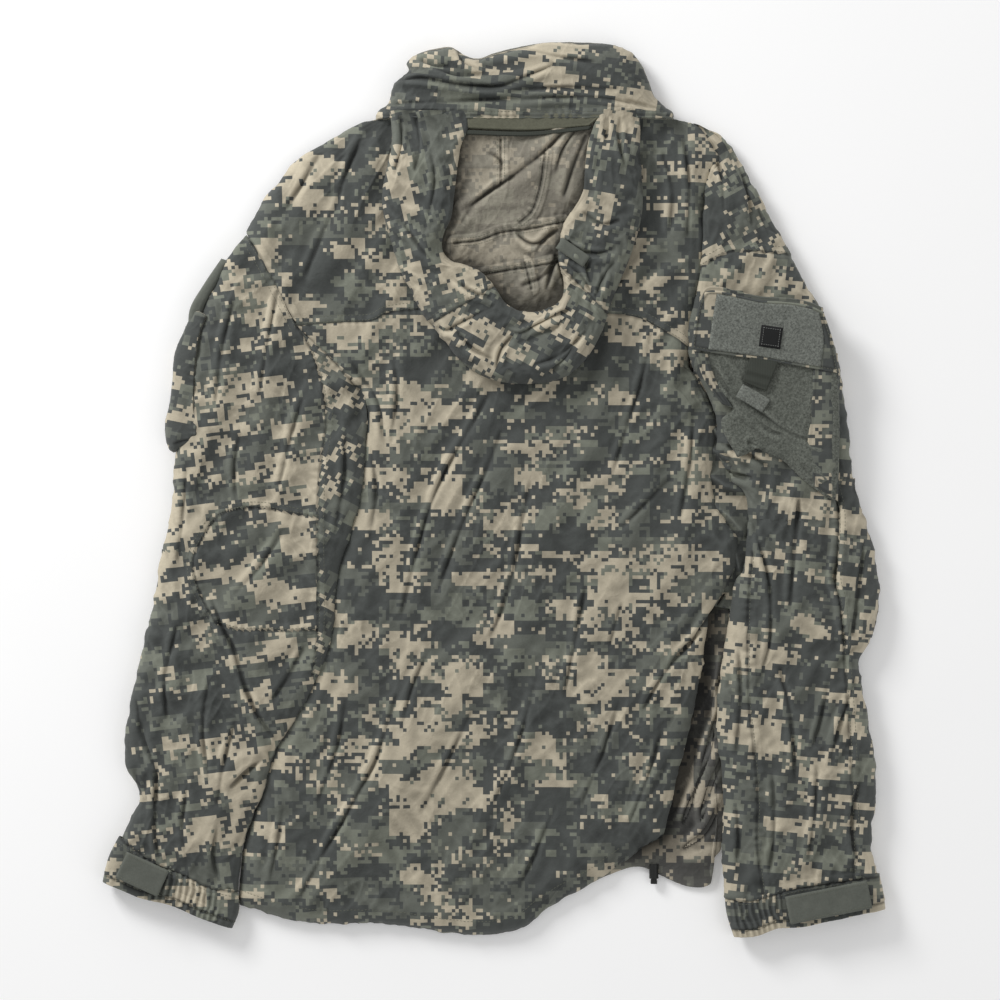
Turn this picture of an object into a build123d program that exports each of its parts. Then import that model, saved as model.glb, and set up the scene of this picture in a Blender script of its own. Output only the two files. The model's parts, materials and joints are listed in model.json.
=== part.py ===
from build123d import *
import os

# A hooded camouflage field jacket that lies face down on a flat surface, collar towards +Y,
# its back upwards and its sleeves along its sides. +X is to the right seen from above.
# Every piece of cloth is a plain solid that holds the space of the laid-out cloth.
# All sizes are in millimetres.

# ---- heights above the surface that the jacket lies on ----
FRONT_POCKET_THICK = 4.0
FRONT_PANEL_THICK = 2.5
TORSO_LOFT = 19.5  # how far the back stands above the front panels
SLEEVE_HEIGHT = 30.0
CUFF_HEIGHT = 26.0
COLLAR_LOFT = 30.0  # how far the collar stands above the underside of the front panels

FRONT_POCKET_SIZE = (100.0, 190.0)
FRONT_POCKET_Y = 130.0
FRONT_POCKET_FROM_ZIP = 70.0
FRONT_POCKET_CORNER = 18.0

# ---- cloth ----
CLOTH = 3.0  # wall of a plain solid that stands for a layer of cloth
PATCH = 1.5  # a patch or a field of loop pile sewn on another piece
SEAM_GAP = 1.0  # between the sleeve and the side of the torso that it lies against
LAYER_GAP = 0.3  # between layers that move on each other

FRONT_BOTTOM = FRONT_POCKET_THICK
FRONT_TOP = FRONT_BOTTOM + FRONT_PANEL_THICK
BACK_TOP = FRONT_TOP + TORSO_LOFT

# ---- outlines seen from above: (x, y), from the collar down ----
NECK_Y = 352.0
NECK_LEFT = (-110.0, NECK_Y)
NECK_RIGHT = (170.0, NECK_Y)
SHOULDER_LEFT = [NECK_LEFT, (-158.0, 331.0), (-204.0, 293.0), (-244.0, 238.0)]
SHOULDER_RIGHT = [NECK_RIGHT, (189.0, 349.0), (223.0, 331.0), (246.0, 293.0), (286.0, 222.0)]

# A sleeve is a flattened tube through these (inner edge, outer edge) pairs. The first pair is the
# armhole seam and the last one is the seam of the cuff.
LEFT_UPPER_SLEEVE = [
    ((-120.0, 94.0), (-244.0, 238.0)),
    ((-121.0, 75.0), (-283.0, 150.0)),
    ((-122.0, 40.0), (-296.0, 70.0)),
    ((-123.0, 1.0), (-306.0, 8.0)),
    ((-138.0, -45.0), (-313.0, -45.0)),
]
LEFT_LOWER_SLEEVE = [
    LEFT_UPPER_SLEEVE[-1],
    ((-150.0, -110.0), (-326.0, -115.0)),
    ((-160.0, -165.0), (-339.0, -168.0)),
    ((-206.0, -250.0), (-352.0, -250.0)),
    ((-220.0, -290.0), (-339.0, -292.0)),
    ((-240.0, -384.0), (-357.0, -332.0)),
]
RIGHT_UPPER_SLEEVE = [
    ((196.0, 208.0), (286.0, 222.0)),
    ((187.0, 150.0), (321.0, 146.0)),
    ((197.0, 108.0), (329.0, 118.0)),
    ((211.0, 65.0), (338.0, 65.0)),
    ((229.0, 0.0), (346.0, 0.0)),
    ((238.0, -49.0), (360.0, -49.0)),
]
RIGHT_LOWER_SLEEVE = [
    RIGHT_UPPER_SLEEVE[-1],
    ((230.0, -100.0), (366.0, -100.0)),
    ((218.0, -150.0), (356.0, -150.0)),
    ((211.0, -233.0), (359.0, -233.0)),
    ((217.0, -300.0), (365.0, -300.0)),
    ((219.0, -388.0), (367.0, -368.0)),
]
LEFT_CUFF = [((-240.0, -384.0), (-357.0, -332.0)), ((-256.0, -420.0), (-373.0, -371.0))]
RIGHT_CUFF = [((219.0, -388.0), (367.0, -368.0)), ((239.0, -426.0), (373.0, -399.0))]

BACK_HEM = [(-239.0, -392.0), (-193.0, -412.0), (-89.0, -416.0), (-32.0, -424.0), (25.0, -416.0)]
BACK_HEM += [(101.0, -372.0), (127.0, -354.0)]
# The back is drawn in at its lower right, where the front shows beside it.
BACK_RIGHT_EDGE = [(223.0, -106.0), (204.0, -144.0), (184.0, -237.0), (163.0, -326.0)]
FRONT_HEM = [(-236.0, -380.0), (-90.0, -372.0), (100.0, -356.0), (139.0, -362.0), (168.0, -375.0)]
FRONT_HEM += [(201.0, -382.0), (208.0, -372.0)]
YOKE_SEAM = [(-187.0, 160.0), (-147.0, 160.0), (-108.0, 163.0), (-84.0, 171.0), (120.0, 166.0)]
YOKE_SEAM += [(149.0, 158.0), (182.0, 140.0)]
BEYOND = 60.0  # how far a cut runs past the jacket
SHOULDER_CUT = 20.0  # how far the cut round the back drops beside the shoulder

# ---- front zip, whose outside and pull lie under the front panels ----
ZIP_X = 8.0
ZIP_TOP = 405.0
ZIP_BOTTOM = -345.0
ZIP_SLOT = 12.0  # between the two front panels
TOOTH_INNER = 1.2  # the slider's post runs between the two rows of teeth
TOOTH_OUTER = 4.2
TOOTH_HEIGHT = 4.4
TAPE_WIDTH = 14.0
TAPE_THICK = 0.8
SLIDER_Y = 300.0
SLIDER_WIDTH = 11.0
SLIDER_LENGTH = 18.0
SLIDER_POST_LENGTH = 6.0
SLIDER_PLATE = 1.0
SLIDER_POST = 1.6
SLIDER_CLEARANCE = 0.2
PULL_WIDTH = 6.0
PULL_LENGTH = 32.0
PULL_THICK = 1.6
PULL_PIN_R = 0.4
PULL_BORE_R = 0.5
PULL_LUG = 1.2
GUARD_THICK = 1.5
GUARD_FOOT = 5.0
STOP_LENGTH = 8.0

# ---- collar and hanger loop ----
COLLAR = [
    ((-110.0, NECK_Y), (170.0, NECK_Y)),
    ((-98.0, 369.0), (155.0, 369.0)),
    ((-84.0, 395.0), (144.0, 395.0)),
    ((-76.0, 418.0), (130.0, 421.0)),
]
LOOP_X = 30.0
LOOP_LENGTH = 60.0
LOOP_WIDTH = 8.0
LOOP_DROP = 7.0
LOOP_CLOTH = 1.2

# ---- hood, which turns over at the neck ----
HOOD_TOP_Y = 350.0
HOOD_ROLL_TOP_Y = 338.0  # the rolled edges stop short of the neck, where the hood turns
HOOD_CLEARANCE = 1.0
HOOD_CLOTH = 3.0
HOOD_SIDE_RISE = 13.0
HOOD_CROWN_RISE = 18.0
HOOD_LEFT_OUTER = [(-93.0, HOOD_ROLL_TOP_Y), (-98.0, 274.0), (-91.0, 215.0), (-70.0, 170.0), (-37.0, 130.0)]
HOOD_CROWN_OUTER = [(-37.0, 130.0), (6.0, 101.0), (63.0, 106.0), (101.0, 135.0), (112.0, 160.0)]
HOOD_RIGHT_OUTER = [(112.0, 160.0), (124.0, 195.0), (145.0, 274.0), (139.0, HOOD_ROLL_TOP_Y)]
HOOD_LEFT_INNER = [(-24.0, HOOD_ROLL_TOP_Y), (-36.0, 305.0), (-36.0, 270.0), (-47.0, 230.0), (-15.0, 190.0)]
HOOD_CROWN_INNER = [(-15.0, 190.0), (12.0, 172.0), (60.0, 176.0), (92.0, 190.0)]
HOOD_RIGHT_INNER = [(92.0, 190.0), (88.0, 225.0), (84.0, 280.0), (96.0, HOOD_ROLL_TOP_Y)]
CINCH_TAB = [(60.0, 222.0), (84.0, 220.0), (84.0, 194.0), (68.0, 192.0)]

# ---- sleeve pockets, flaps and patches ----
POCKET_BAG = [(203.0, 104.0), (323.0, 90.0), (326.0, 46.0), (316.0, -3.0), (282.0, 18.0)]
POCKET_BAG += [(244.0, 32.0), (219.0, 56.0)]
POCKET_THICK = 7.0
POCKET_CLOTH = 1.8
POCKET_INSIDE = [(214.0, 115.0), (314.0, 105.0), (314.0, 48.0), (232.0, 60.0)]
FLAP_HINGE_LEFT = (198.0, 175.0)
FLAP_HINGE_RIGHT = (307.0, 160.0)
FLAP_TIP_RIGHT = (322.0, 110.0)
FLAP_TIP_LEFT = (192.0, 129.0)
FLAP_STRIP = 9.0  # the sewn edge, above the line that the flap turns on
LOOP_FIELD_MARGIN = 8.0
LOOP_FIELD_LIFT = 3.0  # from the edge of the flap up to the loop field
LOOP_FIELD_LEFT = 18.0
FLAP_THICK = 2.5
ID_TAB_CENTRE = (262.0, 143.0)
ID_TAB_SIDE = 19.0
ID_TAB_TURN = -8.0
ID_TAB_THICK = 1.2
PULL_TAB_X = (241.0, 269.0)
PULL_TAB_END = [(256.0, 84.0), (232.0, 92.0)]
PULL_TAB_THICK = 2.0
ELBOW_LEFT = [(-279.0, -24.0), (-231.0, -19.0), (-172.0, -25.0), (-174.0, -68.0), (-180.0, -128.0)]
ELBOW_LEFT += [(-227.0, -138.0), (-262.0, -126.0), (-279.0, -77.0)]
ELBOW_RIGHT = [(320.0, -22.0), (334.0, -26.0), (348.0, -90.0), (340.0, -126.0), (320.0, -132.0)]
PATCH_CORNER = 6.0
LEFT_POCKET_Y = (37.0, 150.0)
LEFT_POCKET_OUT = 12.0  # how far the left pocket stands out past its sleeve
LEFT_POCKET_Z = (3.0, 27.0)
LEFT_FLAP_HINGE = (-256.0, 216.0)
LEFT_FLAP_TIP = (-302.0, 142.0)
LEFT_FLAP_Z = (5.0, 26.0)

# ---- cuffs ----
TAB_LENGTH_RIGHT = 80.0
TAB_LENGTH_LEFT = 44.0  # the rest of this one goes round to the underside
TAB_WIDTH = 27.0
HOOK_MARGIN = 2.0
TAB_THICK = 2.0
HOOK_LENGTH = 34.0
ELASTIC_THICK = 1.5
ELASTIC_MARGIN = 8.0

# ---- cord lock at the front hem ----
LOCK_X = 153.0
LOCK_END_Y = -372.0
LOCK_LENGTH = 14.0
LOCK_R = 4.5
LOCK_FILLET = 0.4
LOCK_WALL = 1.2
LOCK_CORD_BORE_R = 1.6
LOCK_CORD_FROM_END = 3.0
PLUNGER_CLEARANCE = 0.1
PLUNGER_OUT = 5.0
PLUNGER_TRAVEL = 3.5
SPRING_WIRE = 0.7
SPRING_COILS = 4  # close together, as they are when the plunger is in


def shifted(points, across=0.0, along=0.0):
    """The same points, moved across (x) and along (y)."""
    return [(x + across, y + along) for x, y in points]


def plate(points, bottom, top, corner=0.0):
    """A flat piece cut to a straight-sided outline, between two heights."""
    with BuildPart() as piece:
        with BuildSketch(Plane.XY.offset(bottom)) as cut:
            with BuildLine():
                Polyline(*points, close=True)
            make_face()
            if corner:
                fillet(cut.vertices(), corner)
        extrude(amount=top - bottom)
    return piece


def section_plane(inner, outer, middle_height):
    """The upright plane through two edge points of a flattened tube, at half its height."""
    left, right = sorted((inner, outer))
    middle = ((left[0] + right[0]) / 2, (left[1] + right[1]) / 2, middle_height)
    along = (right[0] - left[0], right[1] - left[1], 0)
    return Plane(origin=middle, x_dir=along, z_dir=(along[1], -along[0], 0))


def span(inner, outer):
    return (Vector(*inner) - Vector(*outer)).length


def flat_tube(stations, height, wall, bottom=0.0):
    """A flattened tube of cloth through the stations, open at both ends."""
    middle = bottom + height / 2
    with BuildPart() as tube:
        for inner, outer in stations:
            with BuildSketch(section_plane(inner, outer, middle)):
                SlotOverall(span(inner, outer), height)
        loft(ruled=True)
        for inner, outer in stations:
            with BuildSketch(section_plane(inner, outer, middle)):
                SlotOverall(span(inner, outer) - 2 * wall, height - 2 * wall)
        loft(ruled=True, mode=Mode.SUBTRACT)
    return tube


os.makedirs("parts", exist_ok=True)


def save(piece, name):
    piece.part.label = name
    export_step(piece.part, f"parts/{name}.step")
    print(name, round(piece.part.volume), len(piece.part.solids()))


def turned_frame(start, end, height):
    """A plane at a height whose x runs from start to end, with its origin at start."""
    along = (end[0] - start[0], end[1] - start[1], 0)
    return Plane(origin=(start[0], start[1], height), x_dir=along, z_dir=(0, 0, 1))


# ---------------------------------------------------------------- torso
sleeve_side_left = [pair[0] for pair in LEFT_UPPER_SLEEVE + LEFT_LOWER_SLEEVE[1:]]
sleeve_side_right = [pair[0] for pair in RIGHT_UPPER_SLEEVE + RIGHT_LOWER_SLEEVE[1:]]
upper_count = len(RIGHT_UPPER_SLEEVE)
torso_left = [sleeve_side_left[0]] + shifted(sleeve_side_left[1:-1], across=SEAM_GAP)
torso_right = [sleeve_side_right[0]] + shifted(sleeve_side_right[1:upper_count], across=-SEAM_GAP)
back_left = torso_left + [BACK_HEM[0]]
back_right = torso_right + BACK_RIGHT_EDGE + [BACK_HEM[-1]]


def back_shell():
    """The whole back, hollow below and open at the neck, the hem and both armholes."""
    with BuildPart() as shell:
        with BuildSketch(Plane.XY.offset(FRONT_TOP)):
            with BuildLine():
                Line(NECK_RIGHT, NECK_LEFT)
                Spline(*SHOULDER_LEFT)
                Polyline(SHOULDER_LEFT[-1], *back_left)
                Spline(*BACK_HEM)
                Polyline(*reversed(back_right))
                Line(back_right[0], SHOULDER_RIGHT[-1])
                Spline(*reversed(SHOULDER_RIGHT))
            make_face()
        extrude(amount=TORSO_LOFT)
        with BuildSketch(Plane.XY.offset(FRONT_TOP)):
            with BuildLine():
                Polyline(
                    (NECK_LEFT[0] + CLOTH, NECK_Y + BEYOND),
                    *shifted(SHOULDER_LEFT[:-1], across=CLOTH, along=-CLOTH),
                    (SHOULDER_LEFT[-1][0] - BEYOND, SHOULDER_LEFT[-1][1] - BEYOND),
                    (back_left[0][0] - BEYOND, back_left[0][1]),
                    *shifted(back_left[1:], across=CLOTH),
                    (BACK_HEM[0][0] + CLOTH, BACK_HEM[0][1] - BEYOND),
                    (BACK_HEM[-1][0], BACK_HEM[2][1] - BEYOND),
                    (BACK_HEM[-1][0] + BEYOND, BACK_HEM[-1][1] - BEYOND),
                    *shifted(reversed(back_right[1:-1]), across=-CLOTH),
                    (back_right[0][0] + BEYOND, back_right[0][1]),
                    (SHOULDER_RIGHT[-1][0] + BEYOND, SHOULDER_RIGHT[-1][1] - SHOULDER_CUT),
                    *shifted(reversed(SHOULDER_RIGHT[:-1]), across=-CLOTH, along=-CLOTH),
                    (NECK_RIGHT[0] - CLOTH, NECK_Y + BEYOND),
                    close=True,
                )
            make_face()
        extrude(amount=TORSO_LOFT - CLOTH, mode=Mode.SUBTRACT)
    return shell


def above_the_yoke_seam():
    """The outline of everything that lies above the yoke seam."""
    ends = ((YOKE_SEAM[-1][0] + 2 * BEYOND, YOKE_SEAM[-1][1]), (YOKE_SEAM[0][0] - BEYOND, YOKE_SEAM[0][1]))
    far = NECK_Y + BEYOND
    return [*YOKE_SEAM, ends[0], (ends[0][0], far), (ends[1][0], far), ends[1]]


with BuildPart() as back_yoke:
    add(back_shell().part)
    with BuildSketch():
        with BuildLine():
            Polyline(*above_the_yoke_seam(), close=True)
        make_face()
    extrude(amount=BACK_TOP, mode=Mode.INTERSECT)
save(back_yoke, "back_yoke")

with BuildPart() as back_panel:
    add(back_shell().part)
    with BuildSketch():
        with BuildLine():
            Polyline(*above_the_yoke_seam(), close=True)
        make_face()
    extrude(amount=BACK_TOP, mode=Mode.SUBTRACT)
save(back_panel, "back_panel")

lock_inner_y = LOCK_END_Y + LOCK_LENGTH

with BuildPart() as front_panel_left:
    with BuildSketch(Plane.XY.offset(FRONT_BOTTOM)):
        with BuildLine():
            edge = ZIP_X - ZIP_SLOT / 2
            Polyline((edge, FRONT_HEM[1][1]), (edge, NECK_Y), NECK_LEFT)
            Spline(*SHOULDER_LEFT)
            Polyline(SHOULDER_LEFT[-1], *torso_left, FRONT_HEM[0])
            Polyline(FRONT_HEM[0], FRONT_HEM[1], (edge, FRONT_HEM[1][1]))
        make_face()
    extrude(amount=FRONT_PANEL_THICK)
save(front_panel_left, "front_panel_left")

front_side_right = torso_right + shifted(sleeve_side_right[upper_count:-1], across=-SEAM_GAP)
with BuildPart() as front_panel_right:
    with BuildSketch(Plane.XY.offset(FRONT_BOTTOM)):
        with BuildLine():
            edge = ZIP_X + ZIP_SLOT / 2
            Polyline((edge, FRONT_HEM[2][1]), (edge, NECK_Y), NECK_RIGHT)
            Spline(*SHOULDER_RIGHT)
            Polyline(SHOULDER_RIGHT[-1], *front_side_right, FRONT_HEM[-1])
            Polyline(*reversed(FRONT_HEM[3:]), FRONT_HEM[2], (edge, FRONT_HEM[2][1]))
        make_face()
        with Locations((LOCK_X, lock_inner_y - BEYOND / 2)):
            Rectangle(2 * (LOCK_R + LAYER_GAP), BEYOND, mode=Mode.SUBTRACT)
    extrude(amount=FRONT_PANEL_THICK)
save(front_panel_right, "front_panel_right")

# The two breast pockets lie flat between the front panels and the surface.
for side, name in ((-1, "front_pocket_left"), (1, "front_pocket_right")):
    with BuildPart() as front_pocket:
        with BuildSketch():
            with Locations((ZIP_X + side * FRONT_POCKET_FROM_ZIP, FRONT_POCKET_Y)):
                RectangleRounded(*FRONT_POCKET_SIZE, FRONT_POCKET_CORNER)
        extrude(amount=FRONT_POCKET_THICK)
    save(front_pocket, name)

# ---------------------------------------------------------------- sleeves and cuffs
SLEEVES = {
    "left": (LEFT_UPPER_SLEEVE, LEFT_LOWER_SLEEVE, LEFT_CUFF),
    "right": (RIGHT_UPPER_SLEEVE, RIGHT_LOWER_SLEEVE, RIGHT_CUFF),
}
for side, (upper, lower, cuff) in SLEEVES.items():
    save(flat_tube(upper, SLEEVE_HEIGHT, CLOTH), f"sleeve_upper_{side}")
    save(flat_tube(lower, SLEEVE_HEIGHT, CLOTH), f"sleeve_lower_{side}")
    save(flat_tube(cuff, CUFF_HEIGHT, CLOTH), f"cuff_{side}")

save(plate(ELBOW_LEFT, SLEEVE_HEIGHT, SLEEVE_HEIGHT + PATCH, PATCH_CORNER), "elbow_patch_left")
save(plate(ELBOW_RIGHT, SLEEVE_HEIGHT, SLEEVE_HEIGHT + PATCH, PATCH_CORNER / 2), "elbow_patch_right")


def on_the_cuff_point(cuff, from_outer):
    """The point on a cuff's centre line that lies a distance in from its outer edge."""
    outer = Vector(*cuff[0][1]) / 2 + Vector(*cuff[1][1]) / 2
    inner = Vector(*cuff[0][0]) / 2 + Vector(*cuff[1][0]) / 2
    return outer + (inner - outer).normalized() * from_outer


def on_the_cuff(cuff, from_outer, length, width, bottom, thick):
    """A strip along the top of a cuff, a distance in from its outer edge, on its centre line."""
    start = on_the_cuff_point(cuff, from_outer)
    end = on_the_cuff_point(cuff, from_outer + length)
    with BuildPart() as strip:
        with BuildSketch(turned_frame((start.X, start.Y), (end.X, end.Y), bottom)):
            with Locations((length / 2, 0)):
                Rectangle(length, width)
        extrude(amount=thick)
    return strip


cuff_round = CUFF_HEIGHT / 2  # the side of a cuff is round, so a strip starts this far in
loop_top = CUFF_HEIGHT + PATCH
hook_bottom = loop_top + LAYER_GAP
for side, cuff, tab in (("left", LEFT_CUFF, TAB_LENGTH_LEFT), ("right", RIGHT_CUFF, TAB_LENGTH_RIGHT)):
    loop = on_the_cuff(cuff, cuff_round, tab, TAB_WIDTH, CUFF_HEIGHT, PATCH)
    save(loop, f"cuff_loop_{side}")
    hook_start = cuff_round + tab - HOOK_LENGTH
    hook_width = TAB_WIDTH - 2 * HOOK_MARGIN
    hook = on_the_cuff(cuff, hook_start, HOOK_LENGTH, hook_width, hook_bottom, PATCH)
    save(hook, f"cuff_hook_{side}")
    strap = on_the_cuff(cuff, cuff_round, tab, TAB_WIDTH, hook_bottom + PATCH, TAB_THICK)
    save(strap, f"cuff_tab_{side}")
    elastic_start = cuff_round + tab + ELASTIC_MARGIN
    mean_span = (span(*cuff[0]) + span(*cuff[1])) / 2
    elastic_length = mean_span - cuff_round - elastic_start - ELASTIC_MARGIN
    elastic_bottom = CUFF_HEIGHT - CLOTH - ELASTIC_THICK
    elastic_width = TAB_WIDTH - 2 * HOOK_MARGIN
    elastic = on_the_cuff(
        cuff, elastic_start, elastic_length, elastic_width, elastic_bottom, ELASTIC_THICK
    )
    save(elastic, f"cuff_elastic_{side}")

# ---------------------------------------------------------------- collar
collar_top = FRONT_BOTTOM + COLLAR_LOFT
with BuildPart() as collar:
    add(flat_tube(COLLAR, COLLAR_LOFT, FRONT_PANEL_THICK, FRONT_BOTTOM).part)
    with BuildSketch(Plane.XY.offset(FRONT_BOTTOM)):
        with Locations((ZIP_X, NECK_Y + BEYOND)):
            Rectangle(ZIP_SLOT, 2 * BEYOND)
    extrude(amount=FRONT_PANEL_THICK, mode=Mode.SUBTRACT)
save(collar, "collar")

# The hanger loop is sewn by its two ends under the back of the collar, and bows down between them.
loop_ceiling = collar_top - FRONT_PANEL_THICK
with BuildPart() as hanger_loop:
    with BuildSketch(Plane.XZ.offset(-(NECK_Y + LOOP_WIDTH))):
        with Locations((LOOP_X, loop_ceiling - LOOP_DROP / 2)):
            Rectangle(LOOP_LENGTH, LOOP_DROP)
            Rectangle(LOOP_LENGTH - 2 * LOOP_CLOTH, LOOP_DROP, mode=Mode.SUBTRACT)
        with Locations((LOOP_X, loop_ceiling - LOOP_DROP + LOOP_CLOTH / 2)):
            Rectangle(LOOP_LENGTH, LOOP_CLOTH)
    extrude(amount=LOOP_WIDTH)
save(hanger_loop, "hanger_loop")

# ---------------------------------------------------------------- front zip
teeth_bottom = FRONT_TOP + TAPE_THICK - TOOTH_HEIGHT
teeth_top = teeth_bottom + TOOTH_HEIGHT
for side, name in ((-1, "left"), (1, "right")):
    with BuildPart() as tape:
        with BuildSketch(Plane.XY.offset(FRONT_TOP)):
            with Locations((ZIP_X + side * (TOOTH_OUTER + TAPE_WIDTH / 2), (ZIP_TOP + ZIP_BOTTOM) / 2)):
                Rectangle(TAPE_WIDTH, ZIP_TOP - ZIP_BOTTOM)
        extrude(amount=TAPE_THICK)
    save(tape, f"zip_tape_{name}")
    with BuildPart() as teeth:
        with BuildSketch(Plane.XY.offset(teeth_bottom)):
            with Locations((ZIP_X + side * (TOOTH_OUTER + TOOTH_INNER) / 2, (ZIP_TOP + ZIP_BOTTOM) / 2)):
                Rectangle(TOOTH_OUTER - TOOTH_INNER, ZIP_TOP - ZIP_BOTTOM)
        extrude(amount=TOOTH_HEIGHT)
    save(teeth, f"zip_teeth_{name}")

with BuildPart() as zip_stop:
    with BuildSketch(Plane.XY.offset(teeth_bottom)):
        with Locations((ZIP_X, ZIP_BOTTOM - STOP_LENGTH / 2)):
            Rectangle(2 * TOOTH_OUTER, STOP_LENGTH)
    extrude(amount=TOOTH_HEIGHT)
save(zip_stop, "zip_stop")

plate_top = teeth_bottom - SLIDER_CLEARANCE
plate_bottom = plate_top - SLIDER_PLATE
upper_plate_bottom = teeth_top + SLIDER_CLEARANCE
upper_plate_top = upper_plate_bottom + SLIDER_PLATE
pull_axis_z = PULL_THICK / 2
lug_from_middle = PULL_WIDTH / 2 + SLIDER_CLEARANCE + PULL_LUG / 2
with BuildPart() as zip_slider:
    for bottom in (plate_bottom, upper_plate_bottom):
        with BuildSketch(Plane.XY.offset(bottom)):
            with Locations((ZIP_X, SLIDER_Y)):
                RectangleRounded(SLIDER_WIDTH, SLIDER_LENGTH, SLIDER_WIDTH / 4)
        extrude(amount=SLIDER_PLATE)
    with BuildSketch(Plane.XY.offset(plate_top)):
        with Locations((ZIP_X, SLIDER_Y + SLIDER_LENGTH / 4)):
            Rectangle(SLIDER_POST, SLIDER_POST_LENGTH)
    extrude(amount=upper_plate_bottom - plate_top)
    for side in (-1, 1):
        with BuildSketch(Plane.XY.offset(pull_axis_z - PULL_PIN_R)):
            with Locations((ZIP_X + side * lug_from_middle, SLIDER_Y)):
                Rectangle(PULL_LUG, PULL_THICK)
        extrude(amount=plate_bottom - pull_axis_z + PULL_PIN_R)
    with BuildSketch(Plane.YZ.offset(ZIP_X - lug_from_middle)):
        with Locations((SLIDER_Y, pull_axis_z)):
            Circle(PULL_PIN_R)
    extrude(amount=2 * lug_from_middle)
save(zip_slider, "zip_slider")

with BuildPart() as zip_pull:
    with BuildSketch(Plane.YZ.offset(ZIP_X - PULL_WIDTH / 2)):
        with Locations((SLIDER_Y - PULL_LENGTH / 2, pull_axis_z)):
            SlotOverall(PULL_LENGTH + PULL_THICK, PULL_THICK)
        with Locations((SLIDER_Y, pull_axis_z)):
            Circle(PULL_BORE_R, mode=Mode.SUBTRACT)
    extrude(amount=PULL_WIDTH)
save(zip_pull, "zip_pull")

# The guard is sewn to the left front, inside the jacket, and lies over the whole zip.
guard_bottom = upper_plate_top + LAYER_GAP
guard_left = ZIP_X - TOOTH_OUTER - TAPE_WIDTH - GUARD_FOOT
guard_right = ZIP_X + TOOTH_OUTER + TAPE_WIDTH
with BuildPart() as zip_guard:
    with BuildSketch(Plane.XZ.offset(-ZIP_TOP)):
        with BuildLine():
            Polyline(
                (guard_left, FRONT_TOP),
                (guard_left + GUARD_FOOT, FRONT_TOP),
                (guard_left + GUARD_FOOT, guard_bottom),
                (guard_right, guard_bottom),
                (guard_right, guard_bottom + GUARD_THICK),
                (guard_left, guard_bottom + GUARD_THICK),
                close=True,
            )
        make_face()
    extrude(amount=ZIP_TOP - ZIP_BOTTOM)
save(zip_guard, "zip_guard")

# ---------------------------------------------------------------- hood
hood_bottom = BACK_TOP + HOOD_CLEARANCE
hood_floor = hood_bottom + HOOD_CLOTH
with BuildPart() as hood_back:
    with BuildSketch(Plane.XY.offset(hood_bottom)):
        with BuildLine():
            left_top = (HOOD_LEFT_OUTER[0][0], HOOD_TOP_Y)
            right_top = (HOOD_RIGHT_OUTER[-1][0], HOOD_TOP_Y)
            Polyline(right_top, left_top, HOOD_LEFT_OUTER[0])
            Spline(*HOOD_LEFT_OUTER)
            Spline(*HOOD_CROWN_OUTER)
            Spline(*HOOD_RIGHT_OUTER)
            Line(HOOD_RIGHT_OUTER[-1], right_top)
        make_face()
    extrude(amount=HOOD_CLOTH)
save(hood_back, "hood_back")

HOOD_ROLLS = {
    "hood_side_left": (HOOD_LEFT_OUTER, HOOD_LEFT_INNER, HOOD_SIDE_RISE),
    "hood_crown": (HOOD_CROWN_OUTER, HOOD_CROWN_INNER, HOOD_CROWN_RISE),
    "hood_side_right": (HOOD_RIGHT_OUTER, HOOD_RIGHT_INNER, HOOD_SIDE_RISE),
}
for name, (outer, inner, rise) in HOOD_ROLLS.items():
    with BuildPart() as roll:
        with BuildSketch(Plane.XY.offset(hood_floor)):
            with BuildLine():
                Spline(*outer)
                Line(outer[-1], inner[-1])
                Spline(*reversed(inner))
                Line(inner[0], outer[0])
            make_face()
        extrude(amount=rise)
    save(roll, name)
save(plate(CINCH_TAB, hood_floor, hood_floor + PATCH), "hood_cinch_tab")

# ---------------------------------------------------------------- right sleeve pocket
def along_line(start, end, x):
    """The point of a line at a given x."""
    return (x, start[1] + (end[1] - start[1]) * (x - start[0]) / (end[0] - start[0]))


pocket_top = SLEEVE_HEIGHT + POCKET_THICK
with BuildPart() as pocket_right:
    add(plate(POCKET_BAG, SLEEVE_HEIGHT, pocket_top, POCKET_CLOTH).part)
    add(plate(POCKET_INSIDE, SLEEVE_HEIGHT, pocket_top - POCKET_CLOTH).part, mode=Mode.SUBTRACT)
save(pocket_right, "sleeve_pocket_right")

hinge_line = Vector(*FLAP_HINGE_RIGHT) - Vector(*FLAP_HINGE_LEFT)
uphill = hinge_line.normalized().rotate(Axis.Z, 90)
flap_bottom = pocket_top + LAYER_GAP
flap_top = flap_bottom + FLAP_THICK
strip = [FLAP_HINGE_LEFT, FLAP_HINGE_RIGHT]
strip += shifted(reversed(strip), across=uphill.X * FLAP_STRIP, along=uphill.Y * FLAP_STRIP)
save(plate(strip, SLEEVE_HEIGHT, flap_top), "pocket_flap_seam_right")

flap = [FLAP_HINGE_LEFT, FLAP_HINGE_RIGHT, FLAP_TIP_RIGHT, FLAP_TIP_LEFT]
save(plate(flap, flap_bottom, flap_top), "pocket_flap_right")

field_left = FLAP_TIP_LEFT[0] + LOOP_FIELD_LEFT
field_right = FLAP_HINGE_RIGHT[0] - LOOP_FIELD_MARGIN / 2
loop_field = [
    along_line(FLAP_HINGE_LEFT, FLAP_HINGE_RIGHT, field_left),
    along_line(FLAP_HINGE_LEFT, FLAP_HINGE_RIGHT, field_right),
    along_line(FLAP_TIP_LEFT, FLAP_TIP_RIGHT, field_right + LOOP_FIELD_MARGIN),
    along_line(FLAP_TIP_LEFT, FLAP_TIP_RIGHT, field_left),
]
loop_field = shifted(loop_field[:2], along=-LOOP_FIELD_MARGIN) + shifted(loop_field[2:], along=LOOP_FIELD_LIFT)
save(plate(loop_field, flap_top, flap_top + PATCH, POCKET_CLOTH), "flap_loop_field")

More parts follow.
